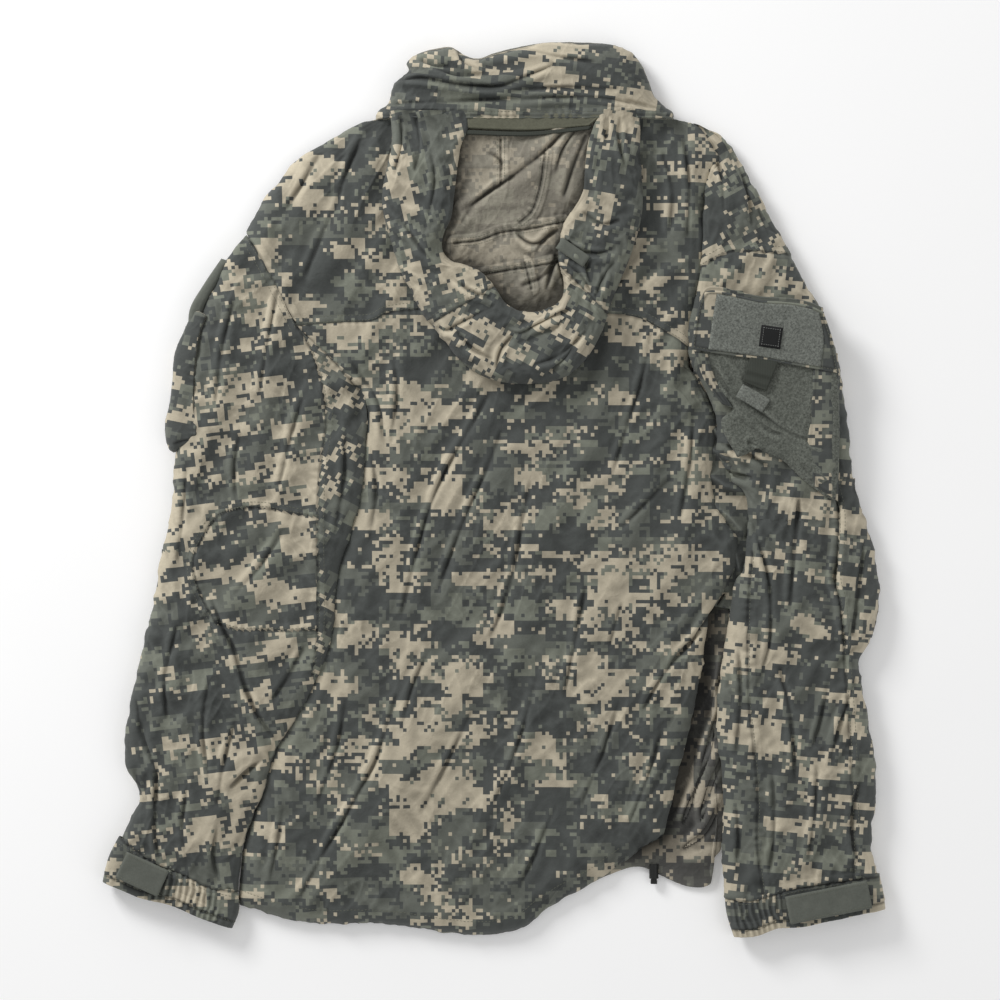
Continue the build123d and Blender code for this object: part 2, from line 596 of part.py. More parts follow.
tab_edge = [along_line(FLAP_TIP_LEFT, FLAP_TIP_RIGHT, x) for x in PULL_TAB_X]
save(plate([*tab_edge, *PULL_TAB_END], flap_bottom, flap_bottom + PULL_TAB_THICK), "flap_pull_tab")

id_base_bottom = flap_top + PATCH
id_cover_bottom = id_base_bottom + ID_TAB_THICK + LAYER_GAP
for name, bottom in (("id_square_base", id_base_bottom), ("id_square_cover", id_cover_bottom)):
    with BuildPart() as square:
        with BuildSketch(Plane.XY.offset(bottom)):
            with Locations(Location(ID_TAB_CENTRE, ID_TAB_TURN)):
                Rectangle(ID_TAB_SIDE, ID_TAB_SIDE)
        extrude(amount=ID_TAB_THICK)
    save(square, name)

# ---------------------------------------------------------------- left sleeve pocket
def outer_edge_at(y):
    """The outer edge of the left sleeve at a given y."""
    edge = [pair[1] for pair in LEFT_UPPER_SLEEVE]
    upper = [point for point in edge if point[1] >= y][-1]
    lower = [point for point in edge if point[1] < y][0]
    return (upper[0] + (lower[0] - upper[0]) * (upper[1] - y) / (upper[1] - lower[1]), y)


bend_y = LEFT_UPPER_SLEEVE[2][1][1]
sleeve_edge = [outer_edge_at(y) for y in (LEFT_POCKET_Y[1], bend_y, LEFT_POCKET_Y[0])]
bag_inner = shifted(sleeve_edge, across=-LAYER_GAP)
bag_outer = shifted(reversed(bag_inner), across=-LEFT_POCKET_OUT)
cavity_inner = shifted(bag_inner, across=-POCKET_CLOTH)
cavity_outer = shifted(bag_outer, across=POCKET_CLOTH)
mouth_y = LEFT_POCKET_Y[1] + BEYOND
cavity = [(cavity_inner[0][0], mouth_y), *cavity_inner[:2], cavity_outer[1], cavity_outer[2]]
cavity += [(cavity_outer[2][0], mouth_y)]
with BuildPart() as pocket_left:
    add(plate([*bag_inner, *bag_outer], *LEFT_POCKET_Z).part)
    inside = (LEFT_POCKET_Z[0] + POCKET_CLOTH, LEFT_POCKET_Z[1] - POCKET_CLOTH)
    add(plate(cavity, *inside).part, mode=Mode.SUBTRACT)
save(pocket_left, "sleeve_pocket_left")

with BuildPart() as pocket_flap_left:
    tip = span(LEFT_FLAP_HINGE, LEFT_FLAP_TIP)
    with BuildSketch(turned_frame(LEFT_FLAP_HINGE, LEFT_FLAP_TIP, LEFT_FLAP_Z[0])):
        with Locations((tip / 2, -FLAP_THICK / 2)):
            Rectangle(tip, FLAP_THICK)
    extrude(amount=LEFT_FLAP_Z[1] - LEFT_FLAP_Z[0])
save(pocket_flap_left, "pocket_flap_left")

# ---------------------------------------------------------------- cord lock at the front hem
lock_z = LOCK_R + LAYER_GAP
lock_inner_r = LOCK_R - LOCK_WALL
spring_length = SPRING_WIRE * SPRING_COILS
plunger_r = lock_inner_r - PLUNGER_CLEARANCE
bottom_y = lock_inner_y - LOCK_WALL  # where the inside of the lock ends
plunger_inner_y = bottom_y - spring_length - PLUNGER_TRAVEL - LAYER_GAP
lock_plane = Plane(origin=(LOCK_X, LOCK_END_Y, lock_z), x_dir=(1, 0, 0), z_dir=(0, 1, 0))
cord_y = LOCK_END_Y + LOCK_CORD_FROM_END
with BuildPart() as lock_body:
    with BuildSketch(lock_plane):
        Circle(LOCK_R)
    extrude(amount=LOCK_LENGTH)
    fillet(lock_body.edges(), LOCK_FILLET)
    with BuildSketch(lock_plane):
        Circle(lock_inner_r)
    extrude(amount=LOCK_LENGTH - LOCK_WALL, mode=Mode.SUBTRACT)
    with BuildSketch(Plane.YZ.offset(LOCK_X)):
        with Locations((cord_y, lock_z)):
            Circle(LOCK_CORD_BORE_R)
    extrude(amount=LOCK_R + LOCK_WALL, both=True, mode=Mode.SUBTRACT)
save(lock_body, "cord_lock_body")

# With the plunger out, the cord hole in the plunger stands off from the one in the body, and
# grips the cord. The two line up when the plunger is pressed in.
with BuildPart() as lock_plunger:
    with BuildSketch(lock_plane.offset(-PLUNGER_OUT)):
        Circle(plunger_r)
    extrude(amount=plunger_inner_y - LOCK_END_Y + PLUNGER_OUT)
    with BuildSketch(Plane.YZ.offset(LOCK_X)):
        with Locations((cord_y - PLUNGER_TRAVEL, lock_z)):
            Circle(LOCK_CORD_BORE_R)
    extrude(amount=LOCK_R, both=True, mode=Mode.SUBTRACT)
save(lock_plunger, "cord_lock_plunger")

with BuildPart() as lock_spring:
    spring_r = plunger_r - SPRING_WIRE
    coil_gap = SPRING_WIRE / 10
    for coil in range(SPRING_COILS):
        with BuildSketch(Plane.XZ.offset(coil * SPRING_WIRE - bottom_y)):
            with Locations((LOCK_X, lock_z)):
                Circle(spring_r)
                Circle(spring_r - SPRING_WIRE, mode=Mode.SUBTRACT)
        extrude(amount=SPRING_WIRE - coil_gap)
save(lock_spring, "cord_lock_spring")
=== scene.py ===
# %% [markdown]
# # A hooded field jacket, laid on its front
#
# The jacket is soft-shell cloth printed in square blocks. It lies on a table with its back upwards,
# so nearly all that shows is rumpled cloth: a back with a yoke, two sleeves, a collar and a hood.
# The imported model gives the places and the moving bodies. This file makes the cloth that is seen.

# %% The frame
import json
import math

import bmesh
import bpy
import numpy as np
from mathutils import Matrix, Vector, noise
from mathutils.bvhtree import BVHTree

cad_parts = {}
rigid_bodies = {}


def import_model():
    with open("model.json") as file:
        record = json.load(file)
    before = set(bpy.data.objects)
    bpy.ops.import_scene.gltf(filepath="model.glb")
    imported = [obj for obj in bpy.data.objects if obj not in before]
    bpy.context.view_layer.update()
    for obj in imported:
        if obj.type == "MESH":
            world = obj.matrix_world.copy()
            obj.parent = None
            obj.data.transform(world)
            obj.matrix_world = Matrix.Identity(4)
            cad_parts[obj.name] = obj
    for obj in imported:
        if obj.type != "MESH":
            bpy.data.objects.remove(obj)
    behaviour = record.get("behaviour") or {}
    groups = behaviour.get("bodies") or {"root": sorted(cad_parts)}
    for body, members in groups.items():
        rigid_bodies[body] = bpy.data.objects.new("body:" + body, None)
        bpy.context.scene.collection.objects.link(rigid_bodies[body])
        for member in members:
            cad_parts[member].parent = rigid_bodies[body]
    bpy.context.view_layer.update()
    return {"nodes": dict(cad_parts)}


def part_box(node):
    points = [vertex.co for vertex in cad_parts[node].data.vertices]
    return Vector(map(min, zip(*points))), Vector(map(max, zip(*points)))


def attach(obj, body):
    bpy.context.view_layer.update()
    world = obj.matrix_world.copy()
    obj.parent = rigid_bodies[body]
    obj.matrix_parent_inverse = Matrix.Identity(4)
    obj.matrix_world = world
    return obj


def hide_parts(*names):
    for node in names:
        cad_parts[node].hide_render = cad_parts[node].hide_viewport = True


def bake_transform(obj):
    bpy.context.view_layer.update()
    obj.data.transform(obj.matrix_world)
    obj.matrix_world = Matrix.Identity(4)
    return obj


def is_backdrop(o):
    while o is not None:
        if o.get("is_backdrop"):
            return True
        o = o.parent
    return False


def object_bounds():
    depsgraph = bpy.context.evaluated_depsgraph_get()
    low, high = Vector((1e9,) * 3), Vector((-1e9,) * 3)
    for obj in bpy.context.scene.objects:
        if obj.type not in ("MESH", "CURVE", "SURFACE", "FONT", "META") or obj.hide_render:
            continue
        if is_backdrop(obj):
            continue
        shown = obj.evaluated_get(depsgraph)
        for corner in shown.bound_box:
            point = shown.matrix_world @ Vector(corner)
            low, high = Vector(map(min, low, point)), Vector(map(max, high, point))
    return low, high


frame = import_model()

# %% [markdown]
# ## Working units
# Tailors think in millimetres, and Blender in metres. All shapes below are worked out in millimetres
# as arrays of points, and are multiplied by `MM` once, when a mesh is made.

# %% Units and the direction of the folds
MM = 0.001
FOLD_ANGLE = math.radians(62)  # the long folds run from upper right to lower left

# %% [markdown]
# ## Curves and patches
# A piece of cloth is drawn by its four edges, each a smooth curve through a few points. A Coons patch
# fills the middle from those edges, which is how a pattern cutter thinks of a panel too.


# %% Smooth curves and Coons patches
def curve(points, count):
    """`count` points at even spacing along a smooth curve through the given points."""
    p = np.array(points, float)
    if len(p) == 2:
        return p[0] + np.linspace(0, 1, count)[:, None] * (p[1] - p[0])
    chord = np.r_[0, np.cumsum(np.linalg.norm(np.diff(p, axis=0), axis=1) ** 0.5)]
    slope = np.gradient(p, chord, axis=0)
    dense = []
    for i in range(len(p) - 1):
        h = chord[i + 1] - chord[i]
        u = np.linspace(0, 1, 24, endpoint=i == len(p) - 2)[:, None]
        dense.append(
            (2 * u**3 - 3 * u**2 + 1) * p[i]
            + (u**3 - 2 * u**2 + u) * h * slope[i]
            + (3 * u**2 - 2 * u**3) * p[i + 1]
            + (u**3 - u**2) * h * slope[i + 1]
        )
    dense = np.vstack(dense)
    run = np.r_[0, np.cumsum(np.linalg.norm(np.diff(dense, axis=0), axis=1))]
    at = np.linspace(0, run[-1], count)
    return np.column_stack([np.interp(at, run, dense[:, k]) for k in range(dense.shape[1])])


def coons(top, bottom, left, right):
    """A grid of points filled in from four edges that already have their points."""
    s, r = np.linspace(0, 1, len(top))[None, :, None], np.linspace(0, 1, len(left))[:, None, None]
    corners = (1 - s) * (1 - r) * top[0] + s * (1 - r) * top[-1] + (1 - s) * r * bottom[0] + s * r * bottom[-1]
    return (1 - r) * top[None] + r * bottom[None] + (1 - s) * left[:, None] + s * right[:, None] - corners


def patch(top, bottom, left, right, across, down):
    """The same from four edge curves, as `down` rows of `across` points."""
    return coons(curve(top, across), curve(bottom, across), curve(left, down), curve(right, down))


def beside(points, line):
    """Each point's gap to a line, how far along the line that is, and its side: positive on the left."""
    p, line = np.asarray(points, float)[:, :2], np.asarray(line, float)[:, :2]
    best, along, side, run = np.full(len(p), 1e9), np.zeros(len(p)), np.zeros(len(p)), 0.0
    for a, b in zip(line[:-1], line[1:]):
        d = b - a
        length = np.linalg.norm(d)
        share = np.clip((p - a) @ d / max(length**2, 1e-9), 0, 1)
        off = p - a - share[:, None] * d
        gap = np.linalg.norm(off, axis=1)
        closer = gap < best
        best[closer], along[closer] = gap[closer], run + share[closer] * length
        side[closer] = np.sign(d[0] * off[closer, 1] - d[1] * off[closer, 0])
        run += length
    return best, along, side


def gap_to(plan, *lines):
    """How far each place of a plan is from the nearest of some lines."""
    flat = plan.reshape(-1, plan.shape[-1])
    return np.min([beside(flat, line)[0] for line in lines], axis=0).reshape(plan.shape[:-1])


def rise(x, low=0.0, high=1.0):
    """0 below low, 1 above high, and smooth between."""
    u = np.clip((np.asarray(x, float) - low) / (high - low), 0, 1)
    return u * u * (3 - 2 * u)


def rounded(x, radius):
    """A quarter round: 0 at x = 0 and 1 from x = radius on."""
    u = 1 - np.clip(np.asarray(x, float) / radius, 0, 1)
    return np.sqrt(np.clip(1 - u * u, 0, 1))


# %% [markdown]
# ## Meshes
# Every cloth mesh carries its cut: the flat place of each point before it was rumpled, in a UV map.
# The print, the weave and the seams follow that map, so they bend with the folds.


# %% Mesh helpers
def grid_faces(rows, cols, around=False):
    """The four-cornered faces of a grid of points, closed across its columns if `around`."""
    wide = cols if around else cols - 1
    i, j = np.meshgrid(np.arange(rows - 1), np.arange(wide), indexing="ij")
    k = (j + 1) % cols
    return np.stack([i * cols + j, (i + 1) * cols + j, (i + 1) * cols + k, i * cols + k], -1).reshape(-1, 4)


def new_piece(name, points, faces, flat=None):
    """An object from points in mm, with its cut coordinates, also in mm, as a UV map."""
    mesh = bpy.data.meshes.new(name)
    mesh.from_pydata((np.asarray(points, float) * MM).tolist(), [], np.asarray(faces).tolist())
    if flat is not None:
        corner = np.zeros(len(mesh.loops), int)
        mesh.loops.foreach_get("vertex_index", corner)
        layer = mesh.uv_layers.new(name="cut")
        layer.data.foreach_set("uv", (np.asarray(flat, float)[corner] * MM).ravel())
    mesh.shade_smooth()
    piece = bpy.data.objects.new(name, mesh)
    bpy.context.scene.collection.objects.link(piece)
    return piece


def points_of(piece):
    """The points of a piece in mm."""
    co = np.zeros(len(piece.data.vertices) * 3, np.float32)
    piece.data.vertices.foreach_get("co", co)
    return co.reshape(-1, 3).astype(float) / MM


def move_points(piece, points):
    piece.data.vertices.foreach_set("co", (points * MM).astype(np.float32).ravel())
    piece.data.update()


def settle_modifiers(piece):
    """Turns a piece and its modifiers into a plain mesh."""
    graph = bpy.context.evaluated_depsgraph_get()
    mesh = bpy.data.meshes.new_from_object(piece.evaluated_get(graph), depsgraph=graph)
    piece.modifiers.clear()
    old, piece.data = piece.data, mesh
    bpy.data.meshes.remove(old)
    return piece


def subdivide(piece, levels=1):
    step = piece.modifiers.new("smooth", "SUBSURF")
    step.levels = step.render_levels = levels
    step.boundary_smooth = "PRESERVE_CORNERS"
    return settle_modifiers(piece)


def normals_of(piece):
    out = np.zeros(len(piece.data.vertices) * 3, np.float32)
    piece.data.vertices.foreach_get("normal", out)
    return out.reshape(-1, 3).astype(float)


def look_outward(piece, top):
    """Turns the faces of a closed piece outwards; its first `top` faces are the ones that look up."""
    made = bmesh.new()
    made.from_mesh(piece.data)
    bmesh.ops.delete(made, geom=[v for v in made.verts if not v.link_faces], context="VERTS")
    bmesh.ops.recalc_face_normals(made, faces=made.faces)
    made.faces.ensure_lookup_table()
    if sum(made.faces[i].normal.z for i in range(top)) < 0:
        bmesh.ops.reverse_faces(made, faces=made.faces)
    made.to_mesh(piece.data)
    made.free()


def mark_points(piece, name, values):
    """Stores one number for each point, for the finishes to read."""
    mark = piece.data.attributes.new(name, "FLOAT", "POINT")
    mark.data.foreach_set("value", np.asarray(values).astype(np.float32))


def mark_hollows(piece, extra=0.0, rounds=16):
    """Marks how far each point lies below the cloth around it, plus `extra`, for the finishes to paint shade into
    hollows and make crests paler.
    """
    ends = np.zeros(len(piece.data.edges) * 2, np.int32)
    piece.data.edges.foreach_get("vertices", ends)
    one, two = ends.reshape(-1, 2).T
    points = points_of(piece)
    size = len(points)
    near = np.bincount(one, minlength=size) + np.bincount(two, minlength=size)
    calm = points.copy()
    for _ in range(rounds):
        pulled = [np.bincount(one, calm[two, k], size) + np.bincount(two, calm[one, k], size) for k in range(3)]
        calm = 0.3 * calm + 0.7 * np.stack(pulled, -1) / np.maximum(near, 1)[:, None]
    below = ((calm - points) * normals_of(piece)).sum(axis=1)
    mark_points(piece, "hollow", np.clip(below + extra, -1.5, 2.0))


def wall_of(piece, thickness):
    """Gives a single layer of cloth a wall below it, `thickness` mm thick."""
    wall = piece.modifiers.new("wall", "SOLIDIFY")
    wall.thickness, wall.offset = thickness * MM, -1.0
    return settle_modifiers(piece)


def box_of(name):
    """The lowest and highest corner of a part of the model, in mm."""
    return [np.array(corner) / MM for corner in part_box(name)]


# %% [markdown]
# ## How cloth gets its wrinkles
# Cloth hardly stretches, so where there is more of it than space it buckles: sharp crests, soft
# valleys. Blender's own Cloth does this, but takes half a minute for one panel. Every panel here is a
# grid, so the same physics fits in a few lines of numpy and takes seconds: each thread segment wants
# its cut length back, each point falls, nothing sinks into what it lies on, and held edges stay put.


# %% Cloth simulation on a grid
def pull(x, free, one, two, length, strength):
    """Moves the two ends of many thread segments towards their rest length."""
    a, b = x[one], x[two]
    fa, fb = free[one], free[two]
    d = b - a
    now = np.sqrt((d * d).sum(-1, keepdims=True)) + 1e-9
    push = strength * (now - length) / (now * (fa + fb + 1e-9)) * d
    x[one] = a + fa * push
    x[two] = b - fb * push


def segments(rows, cols, di, dj):
    """Pairs of grid points di rows and dj columns apart, in batches that share no point."""
    batches = []
    for start in (0, 1):
        if di == 0:
            lead = [(slice(None), slice(o, cols - dj, 2 * dj)) for o in range(start * dj, start * dj + dj)]
            follow = [(slice(None), slice(o + dj, cols, 2 * dj)) for o in range(start * dj, start * dj + dj)]
        elif dj == 0:
            lead = [(slice(o, rows - di, 2 * di), slice(None)) for o in range(start * di, start * di + di)]
            follow = [(slice(o + di, rows, 2 * di), slice(None)) for o in range(start * di, start * di + di)]
        elif dj > 0:
            lead = [(slice(start, rows - 1, 2), slice(0, cols - 1))]
            follow = [(slice(start + 1, rows, 2), slice(1, cols))]
        else:
            lead = [(slice(start, rows - 1, 2), slice(1, cols))]
            follow = [(slice(start + 1, rows, 2), slice(0, cols - 1))]
        batches += list(zip(lead, follow))
    return batches


def settle(grid, cut, free, support, steps=40, bend=0.08, fall=0.02, sweeps=5, grip=0.04):
    """Lets a grid of cloth wrinkle. `cut` is the same grid as it was cut, `free` is 0 where it is held."""
    rows, cols = grid.shape[:2]
    x, before, free = grid.copy(), grid.copy(), free[..., None].astype(float)
    threads = []
    kinds = [(0, 1, 1.0), (1, 0, 1.0), (1, 1, 0.35), (1, -1, 0.35), (0, 2, bend), (2, 0, bend)]
    kinds += [(0, 4, bend * 0.5), (4, 0, bend * 0.5)]
    for di, dj, strength in kinds:
        for one, two in segments(rows, cols, di, dj):
            length = np.linalg.norm(cut[two] - cut[one], axis=-1, keepdims=True)
            threads.append((one, two, length, strength))
    for _ in range(steps):
        speed = (x - before) * 0.9
        before = x.copy()
        x = x + speed * free
        x[..., 2:] -= fall * free
        x[..., :2] += grip * (grid[..., :2] - x[..., :2])
        for _ in range(sweeps):
            for one, two, length, strength in threads:
                pull(x, free, one, two, length, strength)
            x[..., 2] = np.where(free[..., 0] > 0, np.maximum(x[..., 2], support), x[..., 2])
    return x


def ripple(points, size, seed, stretch=1.0, angle=FOLD_ANGLE, octaves=2):
    """Smooth noise in -1..1 at points in mm, with features of `size` mm, drawn out along an angle."""
    c, s = math.cos(angle), math.sin(angle)
    flat = np.asarray(points, float).reshape(-1, points.shape[-1])[:, :2]
    along, across = (flat @ (c, s)) / (size * stretch), (flat @ (-s, c)) / size
    out, share = np.zeros(len(flat)), 1.0
    for o in range(octaves):
        k = 2.0**o
        out += share * np.array(
            [noise.noise(Vector((a * k, b * k, seed + 7.3 * o))) for a, b in zip(along, across)]
        )
        share *= 0.5
    return out.reshape(np.asarray(points).shape[:-1])


def fold(points, line, height, wide, steep=0.5):
    """A ridge along a line: `wide` mm on its left, steeper on its right, and fading at both ends."""
    flat = points.reshape(-1, points.shape[-1])
    gap, along, side = beside(flat, line)
    total = max(along.max(), 1e-6)
    reach = np.where(side > 0, wide, wide * steep)
    ends = np.sin(np.pi * np.clip(along / total, 0.001, 0.999)) ** 0.6
    return (height * ends * np.exp(-((gap / reach) ** 1.25))).reshape(points.shape[:-1])


def held_all_round(plan):
    """The freedom of a grid of cloth that is held along all four edges."""
    free = np.ones(plan.shape[:2])
    free[0] = free[-1] = free[:, 0] = free[:, -1] = 0
    return free


def spare_cloth(grid, share_across, share_along=0.0, angle=FOLD_ANGLE):
    """The cut of a grid of cloth: a few percent wider across its folds than the place it lies in."""
    c, s = math.cos(angle), math.sin(angle)
    cut = grid.copy()
    across, along = grid[..., :2] @ np.array((-s, c)), grid[..., :2] @ np.array((c, s))
    cut[..., 0] += across * share_across * -s + along * share_along * c
    cut[..., 1] += across * share_across * c + along * share_along * s
    return cut


# %% [markdown]
# ## The print, the weave and the other finishes
# The shell cloth is printed in small square blocks of four greys and tans, and it breaks at the seams
# because each panel is cut from another place on the roll. A material can't know the panel, but it can
# read the cut: the UV map is snapped to a grid of blocks, and a few seeded noises choose the colour of
# each block. Small wrinkles and the weave are too fine for the mesh, so they are bump.

# %% A short way to write node trees
BLOCK = 3.3 * MM  # one printed block


def add(tree, kind, inputs=None, **settings):
    """A node with its settings and inputs: a socket is linked, and anything else is set."""
    made = tree.nodes.new(kind)
    for key, value in settings.items():
        setattr(made, key, value)
    for key, value in (inputs or {}).items():
        socket = made.inputs[key]
        if isinstance(value, bpy.types.NodeSocket):
            tree.links.new(value, socket)
        else:
            socket.default_value = value
    return made


def sum_of(tree, kind, one, two=0.0, three=0.0, clamp=False):
    """One Math node: numbers and sockets in, a socket out."""
    return add(tree, "ShaderNodeMath", {0: one, 1: two, 2: three}, operation=kind, use_clamp=clamp).outputs[0]


def moved(tree, vector, by=(0, 0, 0), scale=(1, 1, 1)):
    return add(tree, "ShaderNodeMapping", {"Vector": vector, "Location": by, "Scale": scale}).outputs[0]


def cloudy(tree, vector, size, detail=2.0, rough=0.5, seed=0.0):
    """Seeded noise around 0.5 with features of about `size` mm."""
    place = moved(tree, vector, (seed * 0.731, seed * 0.377, seed * 1.13))
    sockets = {"Vector": place, "Scale": 1000.0 / size, "Detail": detail, "Roughness": rough}
    return add(tree, "ShaderNodeTexNoise", sockets, noise_dimensions="3D").outputs[0]


def tint(tree, share, one, two):
    """A mix of two colours."""
    step = add(tree, "ShaderNodeMix", data_type="RGBA", blend_type="MIX")
    for socket, value in zip([s for s in step.inputs if s.enabled], (share, one, two)):
        if isinstance(value, bpy.types.NodeSocket):
            tree.links.new(value, socket)
        elif socket.type == "RGBA":
            socket.default_value = (*value, 1.0)
        else:
            socket.default_value = value
    return [s for s in step.outputs if s.enabled][0]


def linear(*rgb):
    """A colour as a screen shows it (0 to 255), turned into the linear numbers that light follows."""
    out = []
    for v in rgb:
        v /= 255.0
        out.append(v / 12.92 if v <= 0.04045 else ((v + 0.055) / 1.055) ** 2.4)
    return tuple(out)


def new_finish(name):
    finish = bpy.data.materials.new(name)
    finish.use_nodes = True
    finish.node_tree.nodes["Principled BSDF"].inputs["Specular IOR Level"].default_value = 0.25
    return finish, finish.node_tree, finish.node_tree.nodes["Principled BSDF"]


# %% The block print
SLATE, MID, PALE, TAN = linear(73, 76, 74), linear(97, 100, 93), linear(115, 118, 107), linear(178, 169, 149)
TAN_FROM, MID_FROM, PALE_FROM = 0.566, 0.545, 0.605  # each noise prints its colour above this value


def block_print(tree, place, seed=0.0):
    """The colour of each printed block."""
    snapped, coarse = (
        add(tree, "ShaderNodeVectorMath", {0: place, 1: (wide * BLOCK, high * BLOCK, 1.0)}, operation="SNAP").outputs[0]
        for wide, high in ((1, 1), (3, 2))
    )
    dots = add(tree, "ShaderNodeTexWhiteNoise", {"Vector": snapped}, noise_dimensions="3D").outputs[0]
    dots = sum_of(tree, "SUBTRACT", dots, 0.5)
    rare = sum_of(tree, "MULTIPLY", sum_of(tree, "MULTIPLY", dots, dots), dots)
    fields = []
    for size, at in ((50.0, 1.0), (46.0, 5.0), (36.0, 9.0)):
        wide = moved(tree, coarse, scale=(1.0, 1.9, 1.0))
        narrow = moved(tree, snapped, scale=(1.0, 1.25, 1.0))
        big = cloudy(tree, wide, size, 1.0, 0.5, seed + at)
        small = sum_of(tree, "SUBTRACT", cloudy(tree, narrow, size * 0.27, 1.0, 0.6, seed + at + 2.0), 0.5)
        field = sum_of(tree, "MULTIPLY_ADD", small, 0.42, big)
        fields.append(sum_of(tree, "MULTIPLY_ADD", rare, 0.9 if at < 2 else 0.5, field))
    is_tan, is_mid, is_pale = (
        sum_of(tree, "GREATER_THAN", field, limit) for field, limit in zip(fields, (TAN_FROM, MID_FROM, PALE_FROM))
    )
    return tint(tree, is_tan, tint(tree, is_pale, tint(tree, is_mid, SLATE, MID), PALE), TAN)


def cloth_bump(tree, place, shader, crinkle=0.5, weave=0.12, pitch=0.55):
    """Fine wrinkles of two sizes and an even weave, as bump."""
    creased = sum_of(tree, "ABSOLUTE", sum_of(tree, "SUBTRACT", cloudy(tree, place, 13.0, 3.0, 0.55, 3.0), 0.5))
    small = cloudy(tree, place, 3.2, 2.0, 0.6, 8.0)
    folds = sum_of(tree, "MULTIPLY_ADD", creased, -2.2, sum_of(tree, "MULTIPLY", small, 0.35))
    first = add(tree, "ShaderNodeBump", {"Strength": crinkle, "Distance": 1.6 * MM, "Height": folds}).outputs[0]
    threads = []
    for turn in (45.0, 135.0):
        turned = add(tree, "ShaderNodeMapping", {"Vector": place, "Rotation": (0, 0, math.radians(turn))}).outputs[0]
        sockets = {"Vector": turned, "Scale": 1.0 / (pitch * MM) / 6.28}
        threads.append(add(tree, "ShaderNodeTexWave", sockets).outputs[1])
    cloth = sum_of(tree, "MULTIPLY", threads[0], threads[1])
    last = add(
        tree, "ShaderNodeBump", {"Strength": weave, "Distance": 0.15 * MM, "Height": cloth, "Normal": first}
    ).outputs[0]
    tree.links.new(last, shader.inputs["Normal"])


def marked(tree, name, given, wanted):
    """A number stored on the points, brought from one range to another."""
    mark = add(tree, "ShaderNodeAttribute", attribute_name=name).outputs["Fac"]
    sockets = {"Value": mark, "From Min": given[0], "From Max": given[1], "To Min": wanted[0], "To Max": wanted[1]}
    return add(tree, "ShaderNodeMapRange", sockets).outputs[0]


def hollow_shade(tree, deep=0.5):
    """Painted shade: 1 on even cloth, darker in hollows, and a little paler on crests, partly painted highlight and
    partly wear.
    """
    return marked(tree, "hollow", (-0.7, 1.1), (1.16, deep))


def two_tone(tree, shader, share, tones, rough, height, strength, deep):
    """The end of a one-coloured finish: a mix of two tones, a roughness, and bumps `deep` mm deep."""
    colour, dark, bright = tones
    low, high = tuple(v * dark for v in colour), tuple(min(1.0, v * bright) for v in colour)
    tree.links.new(tint(tree, share, low, high), shader.inputs["Base Color"])
    tree.links.new(rough, shader.inputs["Roughness"])
    bump = add(tree, "ShaderNodeBump", {"Strength": strength, "Distance": deep * MM, "Height": height}).outputs[0]
    tree.links.new(bump, shader.inputs["Normal"])


def printed_cloth(name, seed=0.0, wash=0.0, washed_to=(0.4, 0.36, 0.3), bump=0.5, deep=0.5):
    """Printed soft-shell cloth. `wash` is how far the print has gone towards one pale colour, and `deep` is how dark
    the painted shade in hollows gets; the seams get painted shade too.
    """
    finish, tree, shader = new_finish(name)
    place = add(tree, "ShaderNodeUVMap", uv_map="cut").outputs[0]
    colour = block_print(tree, place, seed)
    if wash:
        colour = tint(tree, wash, colour, washed_to)
    # Wide random patches, darker and lighter, that also change the roughness.
    wide_patches = cloudy(tree, place, 70.0, 3.0, 0.6, 12.0)
    shade = sum_of(tree, "MULTIPLY_ADD", wide_patches, 0.28, 0.86)
    # Painted shade along the seams, darkest at the needle line.
    painted_seam_shade = marked(tree, "seam", (0.0, 2.2), (0.55, 1.0))
    shade = sum_of(tree, "MULTIPLY", sum_of(tree, "MULTIPLY", shade, painted_seam_shade), hollow_shade(tree, deep))
    fibre = cloudy(tree, place, 1.1, 1.0, 0.5, 4.0)
    shade = sum_of(tree, "MULTIPLY", shade, sum_of(tree, "MULTIPLY_ADD", fibre, 0.16, 0.92))
    grey = add(tree, "ShaderNodeCombineColor", {0: shade, 1: shade, 2: shade}).outputs[0]
    final = add(tree, "ShaderNodeMix", data_type="RGBA", blend_type="MULTIPLY")
    sockets = [s for s in final.inputs if s.enabled]
    sockets[0].default_value = 1.0
    tree.links.new(colour, sockets[1])
    tree.links.new(grey, sockets[2])
    tree.links.new([s for s in final.outputs if s.enabled][0], shader.inputs["Base Color"])
    rough = sum_of(tree, "MULTIPLY_ADD", wide_patches, 0.16, 0.72)
    tree.links.new(rough, shader.inputs["Roughness"])
    shader.inputs["Sheen Weight"].default_value = 0.08
    shader.inputs["Sheen Roughness"].default_value = 0.5
    cloth_bump(tree, place, shader, bump)
    return finish


def plain_cloth(name, colour, fleck=0.25, size=0.8, rough=0.9, sheen=0.1, bump=0.6, use_cut=True):
    """One-coloured cloth or pile with flecks of lighter and darker fibre."""
    finish, tree, shader = new_finish(name)
    if use_cut:
        place = add(tree, "ShaderNodeUVMap", uv_map="cut").outputs[0]
    else:
        place = add(tree, "ShaderNodeTexCoord").outputs["Object"]
    fine = cloudy(tree, place, size, 2.0, 0.7, 2.0)
    wide = cloudy(tree, place, 18.0, 3.0, 0.6, 6.0)
    shade = sum_of(tree, "MULTIPLY_ADD", fine, fleck * 2, 1.0 - fleck)
    shade = sum_of(tree, "MULTIPLY", shade, sum_of(tree, "MULTIPLY_ADD", wide, 0.5, 0.75))
    shade = sum_of(tree, "MULTIPLY", shade, hollow_shade(tree, 0.4))
    shader.inputs["Sheen Weight"].default_value = sheen
    shader.inputs["Sheen Roughness"].default_value = 0.4
    two_tone(
        tree, shader, sum_of(tree, "MULTIPLY", shade, 0.5, clamp=True), (colour, 0.45, 1.55),
        sum_of(tree, "MULTIPLY_ADD", fine, 0.1, rough - 0.05), sum_of(tree, "ADD", fine, wide), bump, 0.5,
    )
    return finish


